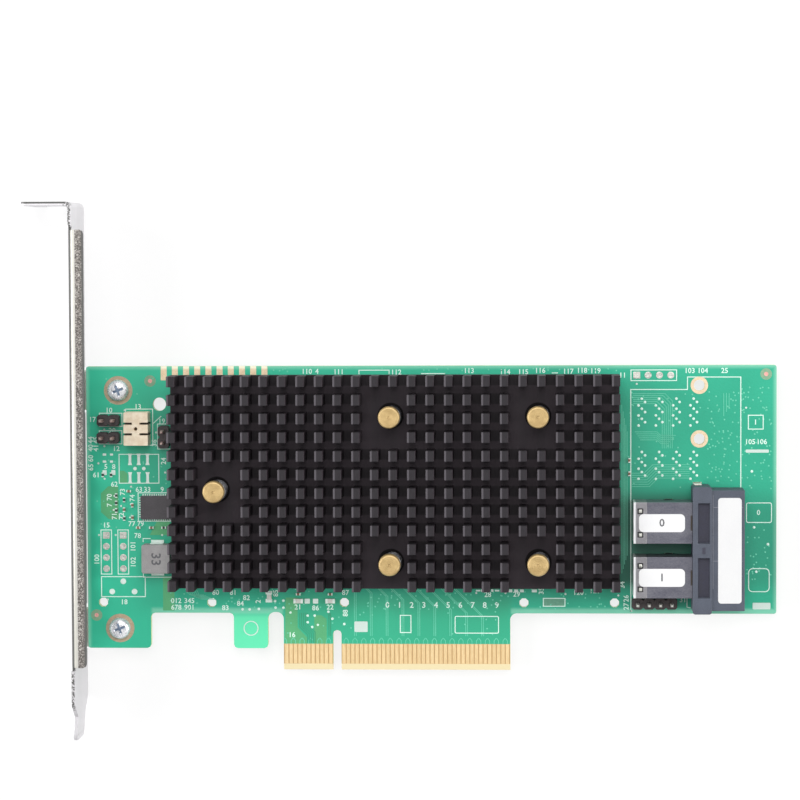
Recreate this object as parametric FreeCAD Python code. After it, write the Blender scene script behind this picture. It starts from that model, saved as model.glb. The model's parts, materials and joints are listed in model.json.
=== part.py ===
import FreeCAD, Part
import math
import os

# Raid controller card: a low-profile printed board with an eight-lane edge connector,
# a pin-fin heatsink over the controller, a twin internal cable port and a full-height bracket.
#
# Frame, in millimetres: +X runs along the card from the bracket to the far end, +Y from the
# tips of the edge contacts to the top edge, +Z out of the component face. The origin is where
# the centre line of the key notch meets the line of the contact tips, on the component face.

V = FreeCAD.Vector

# ---------------------------------------------------------------- how fine the round detail is
# A corner rounder than this is a true arc. A smaller one is two flats through the arc's middle.
SMALL_RADIUS = 1.0
# Small repeated holes, shanks and heads are cut with flats, so that the whole card stays light.
SMALL_ROUND_SIDES = 8
HEAD_SIDES = 16

# ---------------------------------------------------------------- board
BOARD_THICKNESS = 1.57
KEY_TO_BRACKET_EDGE = 56.75
BOARD_LENGTH = 155.65
BOARD_HEIGHT = 68.9
LOWER_EDGE = 12.9
FOOT_EDGE = 4.85
BRACKET_FOOT_WIDTH = 14.4
HOOK_WIDTH = 7.8
HOOK_NOTCH_TOP = 13.1
HOOK_NOTCH_RADIUS = 1.6
RECESS_WIDTH = 18.85
BOARD_CORNER_RADIUS = 0.5
FOOT_CORNER_RADIUS = 0.9
TONGUE_ROOT_RADIUS = 1.5

# ---------------------------------------------------------------- edge connector
CONTACT_PITCH = 1.0
CONTACT_WIDTH = 0.7
CONTACT_BOTTOM = 1.5
CONTACT_TOP = 5.85
CONTACT_THICKNESS = 0.05
CONTACTS_BEFORE_KEY = 11
CONTACTS_AFTER_KEY = 38
KEY_TO_FIRST_CONTACT = 1.5
KEY_WIDTH = 1.9
KEY_TOP = 9.0
KEY_RADIUS = 0.8
TONGUE_MARGIN = 0.3
BEVEL_HEIGHT = 1.4
BEVEL_DEPTH = 0.45

# ---------------------------------------------------------------- test pads along the top edge
TEST_PAD_COUNT = 10
TEST_PAD_PITCH = 2.54
TEST_PAD_WIDTH = 1.35
TEST_PAD_LENGTH = 3.2
TEST_PAD_FIRST_X = -39.05

# ---------------------------------------------------------------- plain holes in the board
SPARE_MOUNT_HOLE = (-40.1, BOARD_HEIGHT - 8.6, 3.0)
RETAINER_HOLES = ((81.65, BOARD_HEIGHT - 4.55, 2.5), (81.65, BOARD_HEIGHT - 16.6, 2.5))
TOOLING_HOLE_DIAMETER = 2.0
TOOLING_HOLES = ((-53.2, 15.3), (-28.5, 15.25), (1.65, 15.3), (42.25, 15.3), (62.65, 15.3))

# ---------------------------------------------------------------- controller under the heatsink
CONTROLLER_X = 29.05
CONTROLLER_Y = 41.45
SUBSTRATE_SIZE = 27.0
SUBSTRATE_HEIGHT = 1.4
LID_SIZE = 22.0
LID_HEIGHT = 1.2
LID_CORNER_RADIUS = 0.8
THERMAL_PAD_HEIGHT = 0.3

# ---------------------------------------------------------------- heatsink
SINK_CENTRE_X = 13.35
SINK_CENTRE_Y = 43.0
FIN_COLUMNS = 25
FIN_ROWS = 12
FIN_PITCH_X = 4.12
FIN_PITCH_Y = 4.15
FIN_LENGTH_X = 1.85
FIN_LENGTH_Y = 2.4
SINK_BASE_THICKNESS = 2.0
FIN_HEIGHT = 7.4
# Blocks of missing fins that clear the heatsink pins: first and last column, first and last row.
FIN_POCKETS = ((2, 3, 5, 7), (11, 12, 1, 3), (11, 12, 9, 11), (19, 20, 1, 3), (19, 20, 9, 11))

# ---------------------------------------------------------------- heatsink pins and springs
PIN_SPACING_X = 33.0
PIN_SPACING_Y = 32.8
OUTER_PIN_X = -26.6
OUTER_PIN_Y = 41.3
PIN_HEAD_DIAMETER = 4.9
PIN_HEAD_HEIGHT = 1.9
PIN_HEAD_ABOVE_BASE = 6.0
PIN_SHANK_DIAMETER = 2.9
PIN_HOLE_CLEARANCE = 0.3
PIN_BARB_DIAMETER = 3.9
PIN_TIP_DIAMETER = 2.0
PIN_BARB_LENGTH = 1.25
SPRING_WIRE = 0.5
SPRING_CLEARANCE = 0.2
SPRING_TURNS = 3
SPRING_SIDES = 5

# ---------------------------------------------------------------- bracket
BRACKET_SHEET = 0.86
BRACKET_TO_BOARD_GAP = 0.84
BRACKET_ABOVE_FACE = 14.0
BRACKET_BEHIND_BOARD = 2.85
BRACKET_HEIGHT = 120.02
TAB_UNDERSIDE = 105.05
TAB_REACH = 10.57
TAB_CORNER_RADIUS = 1.2
TAB_NOTCH_WIDTH = 4.4
TAB_NOTCH_CENTRE = 5.3
TAB_NOTCH_DEPTH = 5.9
TAB_NOTCH_RADIUS = 2.0
BEND_RADIUS = 0.5
FLANGE_WIDTH = 3.44
FLANGE_ABOVE_TAPER = 8.5
FLANGE_BELOW_TAB = 5.35
FLANGE_CORNER_RADIUS = 0.9
RELIEF_WIDTH = 0.7
TONGUE_WIDTH = 10.2
TONGUE_LENGTH = 5.57
TONGUE_TAPER = 3.0
TONGUE_TIP_RADIUS = 1.6
TONGUE_CRANK = 0.35
EAR_WIDTH = 9.0
EAR_CORNER_RADIUS = 0.9
VENT_ACROSS_FLATS = 4.2
VENT_PITCH = 6.0
VENT_COLUMNS = 5
VENT_ROWS = 2
VENT_FIRST_Y = 20.0
VENT_MIDDLE_Z = 6.9
VENT_SIDES = 6

# ---------------------------------------------------------------- bracket screws
SCREW_X = -49.45
SCREW_BELOW_TOP_EDGE = 5.45
SCREW_ABOVE_FOOT_EDGE = 4.55
SCREW_DIAMETER = 3.0
SCREW_CLEARANCE = 0.2
THREAD_CLEARANCE = 0.05
SCREW_HEAD_DIAMETER = 4.9
SCREW_HEAD_HEIGHT = 1.8
SCREW_POINT_BELOW_EAR = 0.6
RECESS_SPAN = 2.7
RECESS_SLOT = 0.6
RECESS_DEPTH = 1.1

# ---------------------------------------------------------------- twin cable port
PORT_PITCH = 12.2
PORT_CENTRE_Y = 27.95
PORT_REAR_X = 66.7
CAP_LENGTH = 3.0
SHELL_LENGTH = 10.1
SHELL_WIDTH = 9.2
SHELL_TOP = 8.0
SHELL_SHEET = 0.25
CAP_WINDOW = 1.3
CAP_WINDOW_OFFSET = 2.6
SHELL_LEG_WIDTH = 1.6
SHELL_LEG_BELOW_BOARD = 1.1
LEG_SLOT_CLEARANCE = 0.15
INSERT_SLOT_HEIGHT = 1.1
INSERT_SLOT_DEPTH = 6.0
INSERT_SLOT_LEVELS = (3.0, 5.6)
INSERT_SLOT_WIDTH = 6.75
GUIDE_WIDTH = 28.4
GUIDE_BAR_LENGTH = 4.2
GUIDE_FRONT_LENGTH = 7.3
GUIDE_FRONT_INSET = 0.75
GUIDE_BAR_TOP = 9.0
GUIDE_FRONT_TOP = 8.6
GUIDE_CORNER_RADIUS = 0.5
MOUTH_WIDTH = 8.0
MOUTH_BOTTOM = 1.3
MOUTH_HEIGHT = 6.0
MOUTH_CORNER_RADIUS = 0.4
LATCH_POCKET_LENGTH = 2.65
LATCH_POCKET_WIDTH = 8.9
LATCH_POCKET_DEPTH = 1.1
LATCH_POCKET_SETBACK = 1.15
CLIP_WIDTH = 1.6
CLIP_THICKNESS = 0.3
CLIP_SETBACK = 0.6
CLIP_HEIGHT = 3.0

# ---------------------------------------------------------------- stickers
STICKER_THICKNESS = 0.1
PORT_STICKER_LENGTH = 10.2
PORT_STICKER_HEIGHT = 4.0
PORT_STICKER_RADIUS = 0.6
PORT_STICKER_SETBACK = 1.2
GUIDE_STICKER_WIDTH = 5.2
GUIDE_STICKER_LENGTH = 23.5
GUIDE_STICKER_RADIUS = 0.7
GUIDE_STICKER_SETBACK = 0.7

# ---------------------------------------------------------------- pin headers
HEADER_PITCH = 2.54
HEADER_BODY_HEIGHT = 2.5
HEADER_BODY_CHAMFER = 0.45
HEADER_PIN = 0.64
HEADER_PIN_ABOVE_BODY = 3.6
HEADER_PIN_BELOW_BOARD = 0.9
HEADER_HOLE_WIDTH = 0.9
CONSOLE_HEADER_FROM_SHELL = 1.9
CONSOLE_HEADER_Y = PORT_CENTRE_Y - PORT_PITCH / 2 - SHELL_WIDTH / 2 - CONSOLE_HEADER_FROM_SHELL
# Each header: centre of its first pin, number of pins and the way its row runs.
HEADERS = {
    "activity_header": (-52.8, BOARD_HEIGHT - 12.15, 2, (1, 0)),
    "fault_header": (-52.85, BOARD_HEIGHT - 16.1, 2, (1, 0)),
    "service_header": (-38.95, BOARD_HEIGHT - 14.65, 2, (0, -1)),
    "console_header": (67.75, CONSOLE_HEADER_Y, 4, (1, 0)),
}

# ---------------------------------------------------------------- cream socket
SOCKET_X = -44.9
SOCKET_Y = BOARD_HEIGHT - 13.95
SOCKET_LENGTH_X = 5.5
SOCKET_LENGTH_Y = 7.5
SOCKET_HEIGHT = 4.8
SOCKET_CORNER_RADIUS = 0.25
SOCKET_SLIT_WIDTH = 0.5
SOCKET_SLIT_LENGTH = 1.9
SOCKET_SLIT_SPACING = 2.4
SOCKET_CORE_HOLE_DIAMETER = 0.8
SOCKET_CORE_HOLE_DEPTH = 3.0
SOCKET_CONTACT_THICKNESS = 0.3
SOCKET_CONTACT_DROP = 1.4

# ---------------------------------------------------------------- power parts
REGULATOR_X = -40.9
REGULATOR_Y = 36.9
REGULATOR_LENGTH = 7.1
REGULATOR_WIDTH = 5.3
REGULATOR_HEIGHT = 0.9
INDUCTOR_X = -40.75
INDUCTOR_Y = 25.45
INDUCTOR_LENGTH = 6.4
INDUCTOR_WIDTH = 6.5
INDUCTOR_HEIGHT = 3.8
INDUCTOR_CORNER_RADIUS = 0.4
INDUCTOR_STRAP_WIDTH = 2.9
INDUCTOR_STRAP_THICKNESS = 0.2
INDUCTOR_STRAP_HEIGHT = 1.9
INDUCTOR_STRAP_FOOT = 0.6

# ---------------------------------------------------------------- memory and clock
FLASH_X = -12.0
FLASH_Y = 44.0
FLASH_LENGTH = 6.0
FLASH_WIDTH = 5.0
FLASH_HEIGHT = 0.8
CRYSTAL_X = 9.0
CRYSTAL_Y = 33.0
CRYSTAL_LENGTH = 3.2
CRYSTAL_WIDTH = 2.5
CRYSTAL_HEIGHT = 0.8
CRYSTAL_CORNER_RADIUS = 0.3

# ---------------------------------------------------------------- chip parts: x, y, turned on end
CHIP_FUSE_SIZE = (2.1, 1.0, 0.6)
CHIP_FUSES = ((-15.4, 16.55, True), (-8.8, 15.65, False), (-1.55, 15.65, False))
CHIP_CAPACITOR_SIZE = (1.0, 0.5, 0.5)
CHIP_CAPACITORS = (
    (-8.8, 17.2, False), (-1.55, 17.2, False), (-46.4, 34.6, True), (-46.4, 37.4, True),
    (-45.1, 32.3, False), (-42.1, 32.3, False), (-48.3, 36.4, True), (-47.2, 40.6, False),
    (66.0, 44.5, True), (66.0, 47.5, True),
)
CHIP_RESISTOR_SIZE = (1.0, 0.5, 0.35)
CHIP_RESISTORS = (
    (-53.1, BOARD_HEIGHT - 24.6, True), (-51.2, BOARD_HEIGHT - 24.6, True),
    (-50.1, 39.6, True), (-50.1, 37.9, True),
    (-50.1, 36.2, True), (-48.3, 38.6, True), (-48.3, 34.4, True), (-39.3, 32.3, False),
)
REAR_CAPACITOR_ROWS = 2
REAR_CAPACITOR_COLUMNS = 4
REAR_CAPACITOR_PITCH = 4.2

# ---------------------------------------------------------------- derived places
BOARD_LEFT = -KEY_TO_BRACKET_EDGE
BOARD_RIGHT = BOARD_LEFT + BOARD_LENGTH
BOARD_REAR = -BOARD_THICKNESS
FOOT_END = BOARD_LEFT + BRACKET_FOOT_WIDTH
HOOK_START = FOOT_END + RECESS_WIDTH
HOOK_END = HOOK_START + HOOK_WIDTH
FIRST_CONTACT_X = -KEY_TO_FIRST_CONTACT - (CONTACTS_BEFORE_KEY - 1) * CONTACT_PITCH
LAST_CONTACT_X = KEY_TO_FIRST_CONTACT + (CONTACTS_AFTER_KEY - 1) * CONTACT_PITCH
TONGUE_START = FIRST_CONTACT_X - CONTACT_WIDTH / 2 - TONGUE_MARGIN
TONGUE_END = LAST_CONTACT_X + CONTACT_WIDTH / 2 + TONGUE_MARGIN
SINK_BASE_BOTTOM = SUBSTRATE_HEIGHT + LID_HEIGHT + THERMAL_PAD_HEIGHT
SINK_BASE_TOP = SINK_BASE_BOTTOM + SINK_BASE_THICKNESS
SINK_LENGTH = (FIN_COLUMNS - 1) * FIN_PITCH_X + FIN_LENGTH_X
SINK_WIDTH = (FIN_ROWS - 1) * FIN_PITCH_Y + FIN_LENGTH_Y
SINK_LEFT = SINK_CENTRE_X - SINK_LENGTH / 2
SINK_TOP_EDGE = SINK_CENTRE_Y + SINK_WIDTH / 2
PIN_HEAD_BOTTOM = SINK_BASE_TOP + PIN_HEAD_ABOVE_BASE
PIN_PLACES = {
    "upper_left": (CONTROLLER_X - PIN_SPACING_X / 2, CONTROLLER_Y + PIN_SPACING_Y / 2),
    "upper_right": (CONTROLLER_X + PIN_SPACING_X / 2, CONTROLLER_Y + PIN_SPACING_Y / 2),
    "lower_left": (CONTROLLER_X - PIN_SPACING_X / 2, CONTROLLER_Y - PIN_SPACING_Y / 2),
    "lower_right": (CONTROLLER_X + PIN_SPACING_X / 2, CONTROLLER_Y - PIN_SPACING_Y / 2),
    "outer": (OUTER_PIN_X, OUTER_PIN_Y),
}
BRACKET_INNER = BOARD_LEFT - BRACKET_TO_BOARD_GAP
BRACKET_OUTER = BRACKET_INNER - BRACKET_SHEET
BRACKET_REAR = BOARD_REAR - BRACKET_BEHIND_BOARD
BRACKET_TIP = TAB_UNDERSIDE - BRACKET_HEIGHT
TONGUE_TAPER_BOTTOM = BRACKET_TIP + TONGUE_LENGTH
TONGUE_TAPER_TOP = TONGUE_TAPER_BOTTOM + TONGUE_TAPER
FLANGE_BOTTOM = TONGUE_TAPER_TOP + FLANGE_ABOVE_TAPER
FLANGE_TOP = TAB_UNDERSIDE - FLANGE_BELOW_TAB
SCREW_HEIGHTS = {"upper": BOARD_HEIGHT - SCREW_BELOW_TOP_EDGE, "lower": FOOT_EDGE + SCREW_ABOVE_FOOT_EDGE}
BRACKET_TOP = TAB_UNDERSIDE + BRACKET_SHEET
BEND_OUTER_RADIUS = BEND_RADIUS + BRACKET_SHEET
EAR_BOTTOM = BOARD_REAR - BRACKET_SHEET
SHELL_REAR_X = PORT_REAR_X + CAP_LENGTH
GUIDE_REAR_X = SHELL_REAR_X + SHELL_LENGTH
GUIDE_BAR_END_X = GUIDE_REAR_X + GUIDE_BAR_LENGTH
GUIDE_FRONT_X = GUIDE_BAR_END_X + GUIDE_FRONT_LENGTH
PORTS = {"lower": PORT_CENTRE_Y - PORT_PITCH / 2, "upper": PORT_CENTRE_Y + PORT_PITCH / 2}
CLIP_X = GUIDE_REAR_X + CLIP_SETBACK
OVERSHOOT = 1.0


# ---------------------------------------------------------------- shared geometry
def rounded_wire(corners, finest_arc):
    """Closed wire in the XY plane through (x, y, radius) corners, each a tangent arc or two flats."""
    count = len(corners)
    starts = []
    ends = []
    arcs = []
    for index, (x, y, radius) in enumerate(corners):
        here = V(x, y, 0)
        if radius == 0:
            starts.append(here)
            ends.append(here)
            arcs.append([])
            continue
        before = V(corners[index - 1][0], corners[index - 1][1], 0)
        after = V(corners[(index + 1) % count][0], corners[(index + 1) % count][1], 0)
        back = (before - here).normalize()
        ahead = (after - here).normalize()
        half_angle = back.getAngle(ahead) / 2
        reach = radius / math.tan(half_angle)
        bisector = (back + ahead).normalize()
        middle = here + bisector * (radius / math.sin(half_angle) - radius)
        starts.append(here + back * reach)
        ends.append(here + ahead * reach)
        if radius < finest_arc:
            arcs.append([Part.makeLine(starts[-1], middle), Part.makeLine(middle, ends[-1])])
        else:
            arcs.append([Part.Arc(starts[-1], middle, ends[-1]).toShape()])
    edges = []
    for index in range(count):
        edges.extend(arcs[index])
        following = (index + 1) % count
        if ends[index].distanceToPoint(starts[following]) > 1e-6:
            edges.append(Part.makeLine(ends[index], starts[following]))
    return Part.Wire(edges)


def plate(corners, bottom, height, finest_arc=SMALL_RADIUS):
    """Plate with the given XY outline, standing on Z = bottom."""
    solid = Part.Face(rounded_wire(corners, finest_arc)).extrude(V(0, 0, height))
    solid.translate(V(0, 0, bottom))
    return solid


def rectangle(x_low, x_high, y_low, y_high, radius=0.0):
    """Corner list of a rectangle with one radius at all four corners."""
    return [
        (x_low, y_low, radius),
        (x_high, y_low, radius),
        (x_high, y_high, radius),
        (x_low, y_high, radius),
    ]


def block(x_low, x_high, y_low, y_high, z_low, z_high, radius=0.0):
    """Block between two corners, with its upright edges rounded."""
    return plate(rectangle(x_low, x_high, y_low, y_high, radius), z_low, z_high - z_low)


def centred_block(x, y, length, width, z_low, z_high, radius=0.0):
    """Block centred over (x, y)."""
    half_length = length / 2
    half_width = width / 2
    return block(x - half_length, x + half_length, y - half_width, y + half_width, z_low, z_high, radius)


def section_along_y(corners, y_low, y_high):
    """Bar whose (x, z) section, with true arcs, runs along Y."""
    solid = plate(corners, -y_high, y_high - y_low, 0)
    solid.rotate(V(0, 0, 0), V(1, 0, 0), 90)
    return solid


def section_along_x(corners, x_low, x_high):
    """Bar whose (y, z) section runs along X."""
    solid = plate(corners, x_low, x_high - x_low)
    solid.rotate(V(0, 0, 0), V(1, 1, 1), 120)
    return solid


def drill(x, y, diameter, z_low, z_high):
    """Upright cylinder used as a hole."""
    return Part.makeCylinder(diameter / 2, z_high - z_low, V(x, y, z_low))


def ring_corners(x, y, across_flats, z, sides):
    """Corners of a level ring of equal sides about (x, y)."""
    step = 2 * math.pi / sides
    radius = across_flats / 2 / math.cos(step / 2)
    angles = [step * (side + 0.5) for side in range(sides)]
    return [V(x + radius * math.cos(angle), y + radius * math.sin(angle), z) for angle in angles]


def flat_sided(x, y, across_flats, z_low, z_high, sides=SMALL_ROUND_SIDES):
    """Upright prism that stands in for a small cylinder."""
    corners = ring_corners(x, y, across_flats, z_low, sides)
    return Part.Face(Part.makePolygon(corners + [corners[0]])).extrude(V(0, 0, z_high - z_low))


def faceted(loops):
    """Closed solid from the corner loops of its flat faces."""
    faces = [Part.Face(Part.makePolygon(list(loop) + [loop[0]])) for loop in loops]
    solid = Part.Solid(Part.Shell(faces))
    if solid.Volume < 0:
        solid.reverse()
    return solid


def flat_sided_taper(x, y, across_low, across_high, z_low, z_high):
    """Flat-sided prism that widens from its low end to its high end."""
    low = ring_corners(x, y, across_low, z_low, SMALL_ROUND_SIDES)
    high = ring_corners(x, y, across_high, z_high, SMALL_ROUND_SIDES)
    loops = [low[::-1], high]
    for side in range(SMALL_ROUND_SIDES):
        following = (side + 1) % SMALL_ROUND_SIDES
        loops.append((low[side], low[following], high[following], high[side]))
    return faceted(loops)


def group(solids):
    """Compound of solids that share one node."""
    return Part.makeCompound(solids)


def header_pin_places(name):
    """Centres of the pins of one header."""
    x, y, count, (step_x, step_y) = HEADERS[name]
    return [(x + step_x * HEADER_PITCH * i, y + step_y * HEADER_PITCH * i) for i in range(count)]


# ---------------------------------------------------------------- board and its pads
def board_outline():
    """Corners of the board: bracket foot, recess, hook, notch and tongue along the lower side."""
    return [
        (BOARD_LEFT, BOARD_HEIGHT, BOARD_CORNER_RADIUS),
        (BOARD_LEFT, FOOT_EDGE, BOARD_CORNER_RADIUS),
        (FOOT_END, FOOT_EDGE, FOOT_CORNER_RADIUS),
        (FOOT_END, LOWER_EDGE, FOOT_CORNER_RADIUS),
        (HOOK_START, LOWER_EDGE, FOOT_CORNER_RADIUS),
        (HOOK_START, FOOT_EDGE, FOOT_CORNER_RADIUS),
        (HOOK_END, FOOT_EDGE, FOOT_CORNER_RADIUS),
        (HOOK_END, HOOK_NOTCH_TOP, HOOK_NOTCH_RADIUS),
        (TONGUE_START, HOOK_NOTCH_TOP, HOOK_NOTCH_RADIUS),
        (TONGUE_START, 0, 0),
        (TONGUE_END, 0, 0),
        (TONGUE_END, LOWER_EDGE, TONGUE_ROOT_RADIUS),
        (BOARD_RIGHT, LOWER_EDGE, BOARD_CORNER_RADIUS),
        (BOARD_RIGHT, BOARD_HEIGHT, BOARD_CORNER_RADIUS),
    ]


def tongue_bevels():
    """Wedges that bevel both faces of the tongue towards the contact tips."""
    start = TONGUE_START - OVERSHOOT
    end = TONGUE_END + OVERSHOOT
    front = [(0, 0, 0), (BEVEL_HEIGHT, 0, 0), (0, -BEVEL_DEPTH, 0)]
    rear = [(0, BOARD_REAR, 0), (BEVEL_HEIGHT, BOARD_REAR, 0), (0, BOARD_REAR + BEVEL_DEPTH, 0)]
    return [section_along_x(front, start, end), section_along_x(rear, start, end)]


def board_holes():
    """Every hole in the board: the mounting hole is round, the small repeated ones have flats."""
    bottom = BOARD_REAR - OVERSHOOT
    top = OVERSHOOT
    holes = [drill(*SPARE_MOUNT_HOLE, bottom, top)]
    holes.extend(flat_sided(*hole, bottom, top) for hole in RETAINER_HOLES)
    for y in SCREW_HEIGHTS.values():
        holes.append(flat_sided(SCREW_X, y, SCREW_DIAMETER + SCREW_CLEARANCE, bottom, top))
    for x, y in PIN_PLACES.values():
        holes.append(flat_sided(x, y, PIN_SHANK_DIAMETER + PIN_HOLE_CLEARANCE, bottom, top))
    for x, y in TOOLING_HOLES:
        holes.append(flat_sided(x, y, TOOLING_HOLE_DIAMETER, bottom, top))
    for name in HEADERS:
        for x, y in header_pin_places(name):
            holes.append(centred_block(x, y, HEADER_HOLE_WIDTH, HEADER_HOLE_WIDTH, bottom, top))
    return holes


def leg_slots():
    """Slots in the board for the legs of the port shells and the guide clips."""
    gap = LEG_SLOT_CLEARANCE
    plans = clip_plans()
    for y in PORTS.values():
        plans.extend(shell_leg_plans(y))
    slots = []
    for x_low, x_high, y_low, y_high in plans:
        slots.append(block(x_low - gap, x_high + gap, y_low - gap, y_high + gap,
                           BOARD_REAR - OVERSHOOT, OVERSHOOT))
    return slots


def circuit_board():
    """Bare board with its notches, bevelled tongue, holes and slots."""
    board = plate(board_outline(), BOARD_REAR, BOARD_THICKNESS)
    half_key = KEY_WIDTH / 2
    key = plate([
        (-half_key, -OVERSHOOT, 0),
        (half_key, -OVERSHOOT, 0),
        (half_key, KEY_TOP, KEY_RADIUS),
        (-half_key, KEY_TOP, KEY_RADIUS),
    ], BOARD_REAR - OVERSHOOT, BOARD_THICKNESS + 2 * OVERSHOOT)
    return board.cut([key] + tongue_bevels() + leg_slots() + board_holes())


def edge_contacts(bottom):
    """Row of contact strips on both sides of the key, lying on Z = bottom."""
    places = [FIRST_CONTACT_X + CONTACT_PITCH * i for i in range(CONTACTS_BEFORE_KEY)]
    places += [KEY_TO_FIRST_CONTACT + CONTACT_PITCH * i for i in range(CONTACTS_AFTER_KEY)]
    half = CONTACT_WIDTH / 2
    top = bottom + CONTACT_THICKNESS
    return group([block(x - half, x + half, CONTACT_BOTTOM, CONTACT_TOP, bottom, top) for x in places])


def test_pads():
    """Row of plated pads that reach in from the top edge of the board."""
    pads = []
    for index in range(TEST_PAD_COUNT):
        x = TEST_PAD_FIRST_X + TEST_PAD_PITCH * index
        pads.append(centred_block(x, BOARD_HEIGHT - TEST_PAD_LENGTH / 2, TEST_PAD_WIDTH, TEST_PAD_LENGTH,
                                  0, CONTACT_THICKNESS))
    return group(pads)


# ---------------------------------------------------------------- controller and heatsink
def controller_substrate():
    """Square laminate of the controller, soldered flat on the board."""
    return centred_block(CONTROLLER_X, CONTROLLER_Y, SUBSTRATE_SIZE, SUBSTRATE_SIZE, 0, SUBSTRATE_HEIGHT)


def controller_lid():
    """Metal lid of the controller."""
    top = SUBSTRATE_HEIGHT + LID_HEIGHT
    return centred_block(CONTROLLER_X, CONTROLLER_Y, LID_SIZE, LID_SIZE, SUBSTRATE_HEIGHT, top,
                         LID_CORNER_RADIUS)


def thermal_pad():
    """Soft pad between the lid and the heatsink base."""
    bottom = SUBSTRATE_HEIGHT + LID_HEIGHT
    return centred_block(CONTROLLER_X, CONTROLLER_Y, LID_SIZE, LID_SIZE, bottom, SINK_BASE_BOTTOM)


def fin_stands(column, row):
    """True where no pocket removes the fin."""
    for first_column, last_column, first_row, last_row in FIN_POCKETS:
        if first_column <= column <= last_column and first_row <= row <= last_row:
            return False
    return True


def heatsink():
    """Base plate with a grid of square-cut fins, open pockets and holes for the pins."""
    sink = block(SINK_LEFT, SINK_LEFT + SINK_LENGTH, SINK_TOP_EDGE - SINK_WIDTH, SINK_TOP_EDGE,
                 SINK_BASE_BOTTOM, SINK_BASE_TOP)
    fins = []
    for column in range(FIN_COLUMNS):
        x_low = SINK_LEFT + column * FIN_PITCH_X
        for row in range(FIN_ROWS):
            if not fin_stands(column, row):
                continue
            y_high = SINK_TOP_EDGE - row * FIN_PITCH_Y
            fins.append(block(x_low, x_low + FIN_LENGTH_X, y_high - FIN_LENGTH_Y, y_high,
                              SINK_BASE_TOP, SINK_BASE_TOP + FIN_HEIGHT))
    sink = sink.fuse(fins).removeSplitter()
    hole_diameter = PIN_SHANK_DIAMETER + 2 * PIN_HOLE_CLEARANCE
    holes = [flat_sided(x, y, hole_diameter, SINK_BASE_BOTTOM - OVERSHOOT, SINK_BASE_TOP + OVERSHOOT)
             for x, y in PIN_PLACES.values()]
    return sink.cut(holes)


def heatsink_pin(x, y):
    """Push pin: round head, shank through heatsink and board, tapered barb behind."""
    barb_bottom = BOARD_REAR - PIN_BARB_LENGTH
    head = flat_sided(x, y, PIN_HEAD_DIAMETER, PIN_HEAD_BOTTOM, PIN_HEAD_BOTTOM + PIN_HEAD_HEIGHT,
                      HEAD_SIDES)
    shank = flat_sided(x, y, PIN_SHANK_DIAMETER, BOARD_REAR, PIN_HEAD_BOTTOM)
    barb = flat_sided_taper(x, y, PIN_TIP_DIAMETER, PIN_BARB_DIAMETER, barb_bottom, BOARD_REAR)
    return head.fuse([shank, barb]).removeSplitter()


def pin_spring(x, y):
    """Coil spring of square wire round the shank, from the heatsink base to the pin head."""
    half = SPRING_WIRE / 2
    middle_radius = PIN_SHANK_DIAMETER / 2 + SPRING_CLEARANCE + half
    step = 2 * math.pi / SPRING_SIDES
    inner = middle_radius / math.cos(step / 2) - half
    outer = inner + SPRING_WIRE
    count = SPRING_TURNS * SPRING_SIDES
    rise = (PIN_HEAD_ABOVE_BASE - SPRING_WIRE) / count
    rings = []
    for index in range(count + 1):
        direction = V(math.cos(step * index), math.sin(step * index), 0)
        low = V(x, y, SINK_BASE_TOP + rise * index)
        high = low + V(0, 0, SPRING_WIRE)
        rings.append([low + direction * inner, low + direction * outer,
                      high + direction * outer, high + direction * inner])
    loops = [rings[0], rings[-1][::-1]]
    for here, ahead in zip(rings, rings[1:]):
        for corner in range(4):
            following = (corner + 1) % 4
            loops.append((here[corner], ahead[corner], ahead[following]))
            loops.append((here[corner], ahead[following], here[following]))
    return faceted(loops)


# ---------------------------------------------------------------- bracket
def bracket_strip():
    """Face of the bracket with its outward tab and slightly cranked tongue, at full width."""
    corners = [
        (BRACKET_OUTER - TAB_REACH, TAB_UNDERSIDE, 0),
        (BRACKET_OUTER, TAB_UNDERSIDE, BEND_RADIUS),
        (BRACKET_OUTER, TONGUE_TAPER_BOTTOM, 0),
        (BRACKET_OUTER - TONGUE_CRANK, BRACKET_TIP, 0),
        (BRACKET_INNER - TONGUE_CRANK, BRACKET_TIP, 0),
        (BRACKET_INNER, TONGUE_TAPER_BOTTOM, 0),
        (BRACKET_INNER, BRACKET_TOP, BEND_OUTER_RADIUS),
        (BRACKET_OUTER - TAB_REACH, BRACKET_TOP, 0),
    ]
    return plate(corners, BRACKET_REAR, BRACKET_ABOVE_FACE - BRACKET_REAR)


def bracket_face_outline():
    """Outline of the face as (y, z) corners: full width, narrowing to the tongue at the foot."""
    middle = (BRACKET_REAR + BRACKET_ABOVE_FACE) / 2
    half_tongue = TONGUE_WIDTH / 2
    return [
        (BRACKET_TOP + OVERSHOOT, BRACKET_REAR, 0),
        (BRACKET_TOP + OVERSHOOT, BRACKET_ABOVE_FACE, 0),
        (TONGUE_TAPER_TOP, BRACKET_ABOVE_FACE, 0),
        (TONGUE_TAPER_BOTTOM, middle + half_tongue, 0),
        (BRACKET_TIP, middle + half_tongue, TONGUE_TIP_RADIUS),
        (BRACKET_TIP, middle - half_tongue, TONGUE_TIP_RADIUS),
        (TONGUE_TAPER_BOTTOM, middle - half_tongue, 0),
        (TONGUE_TAPER_TOP, BRACKET_REAR, 0),
    ]


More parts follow.
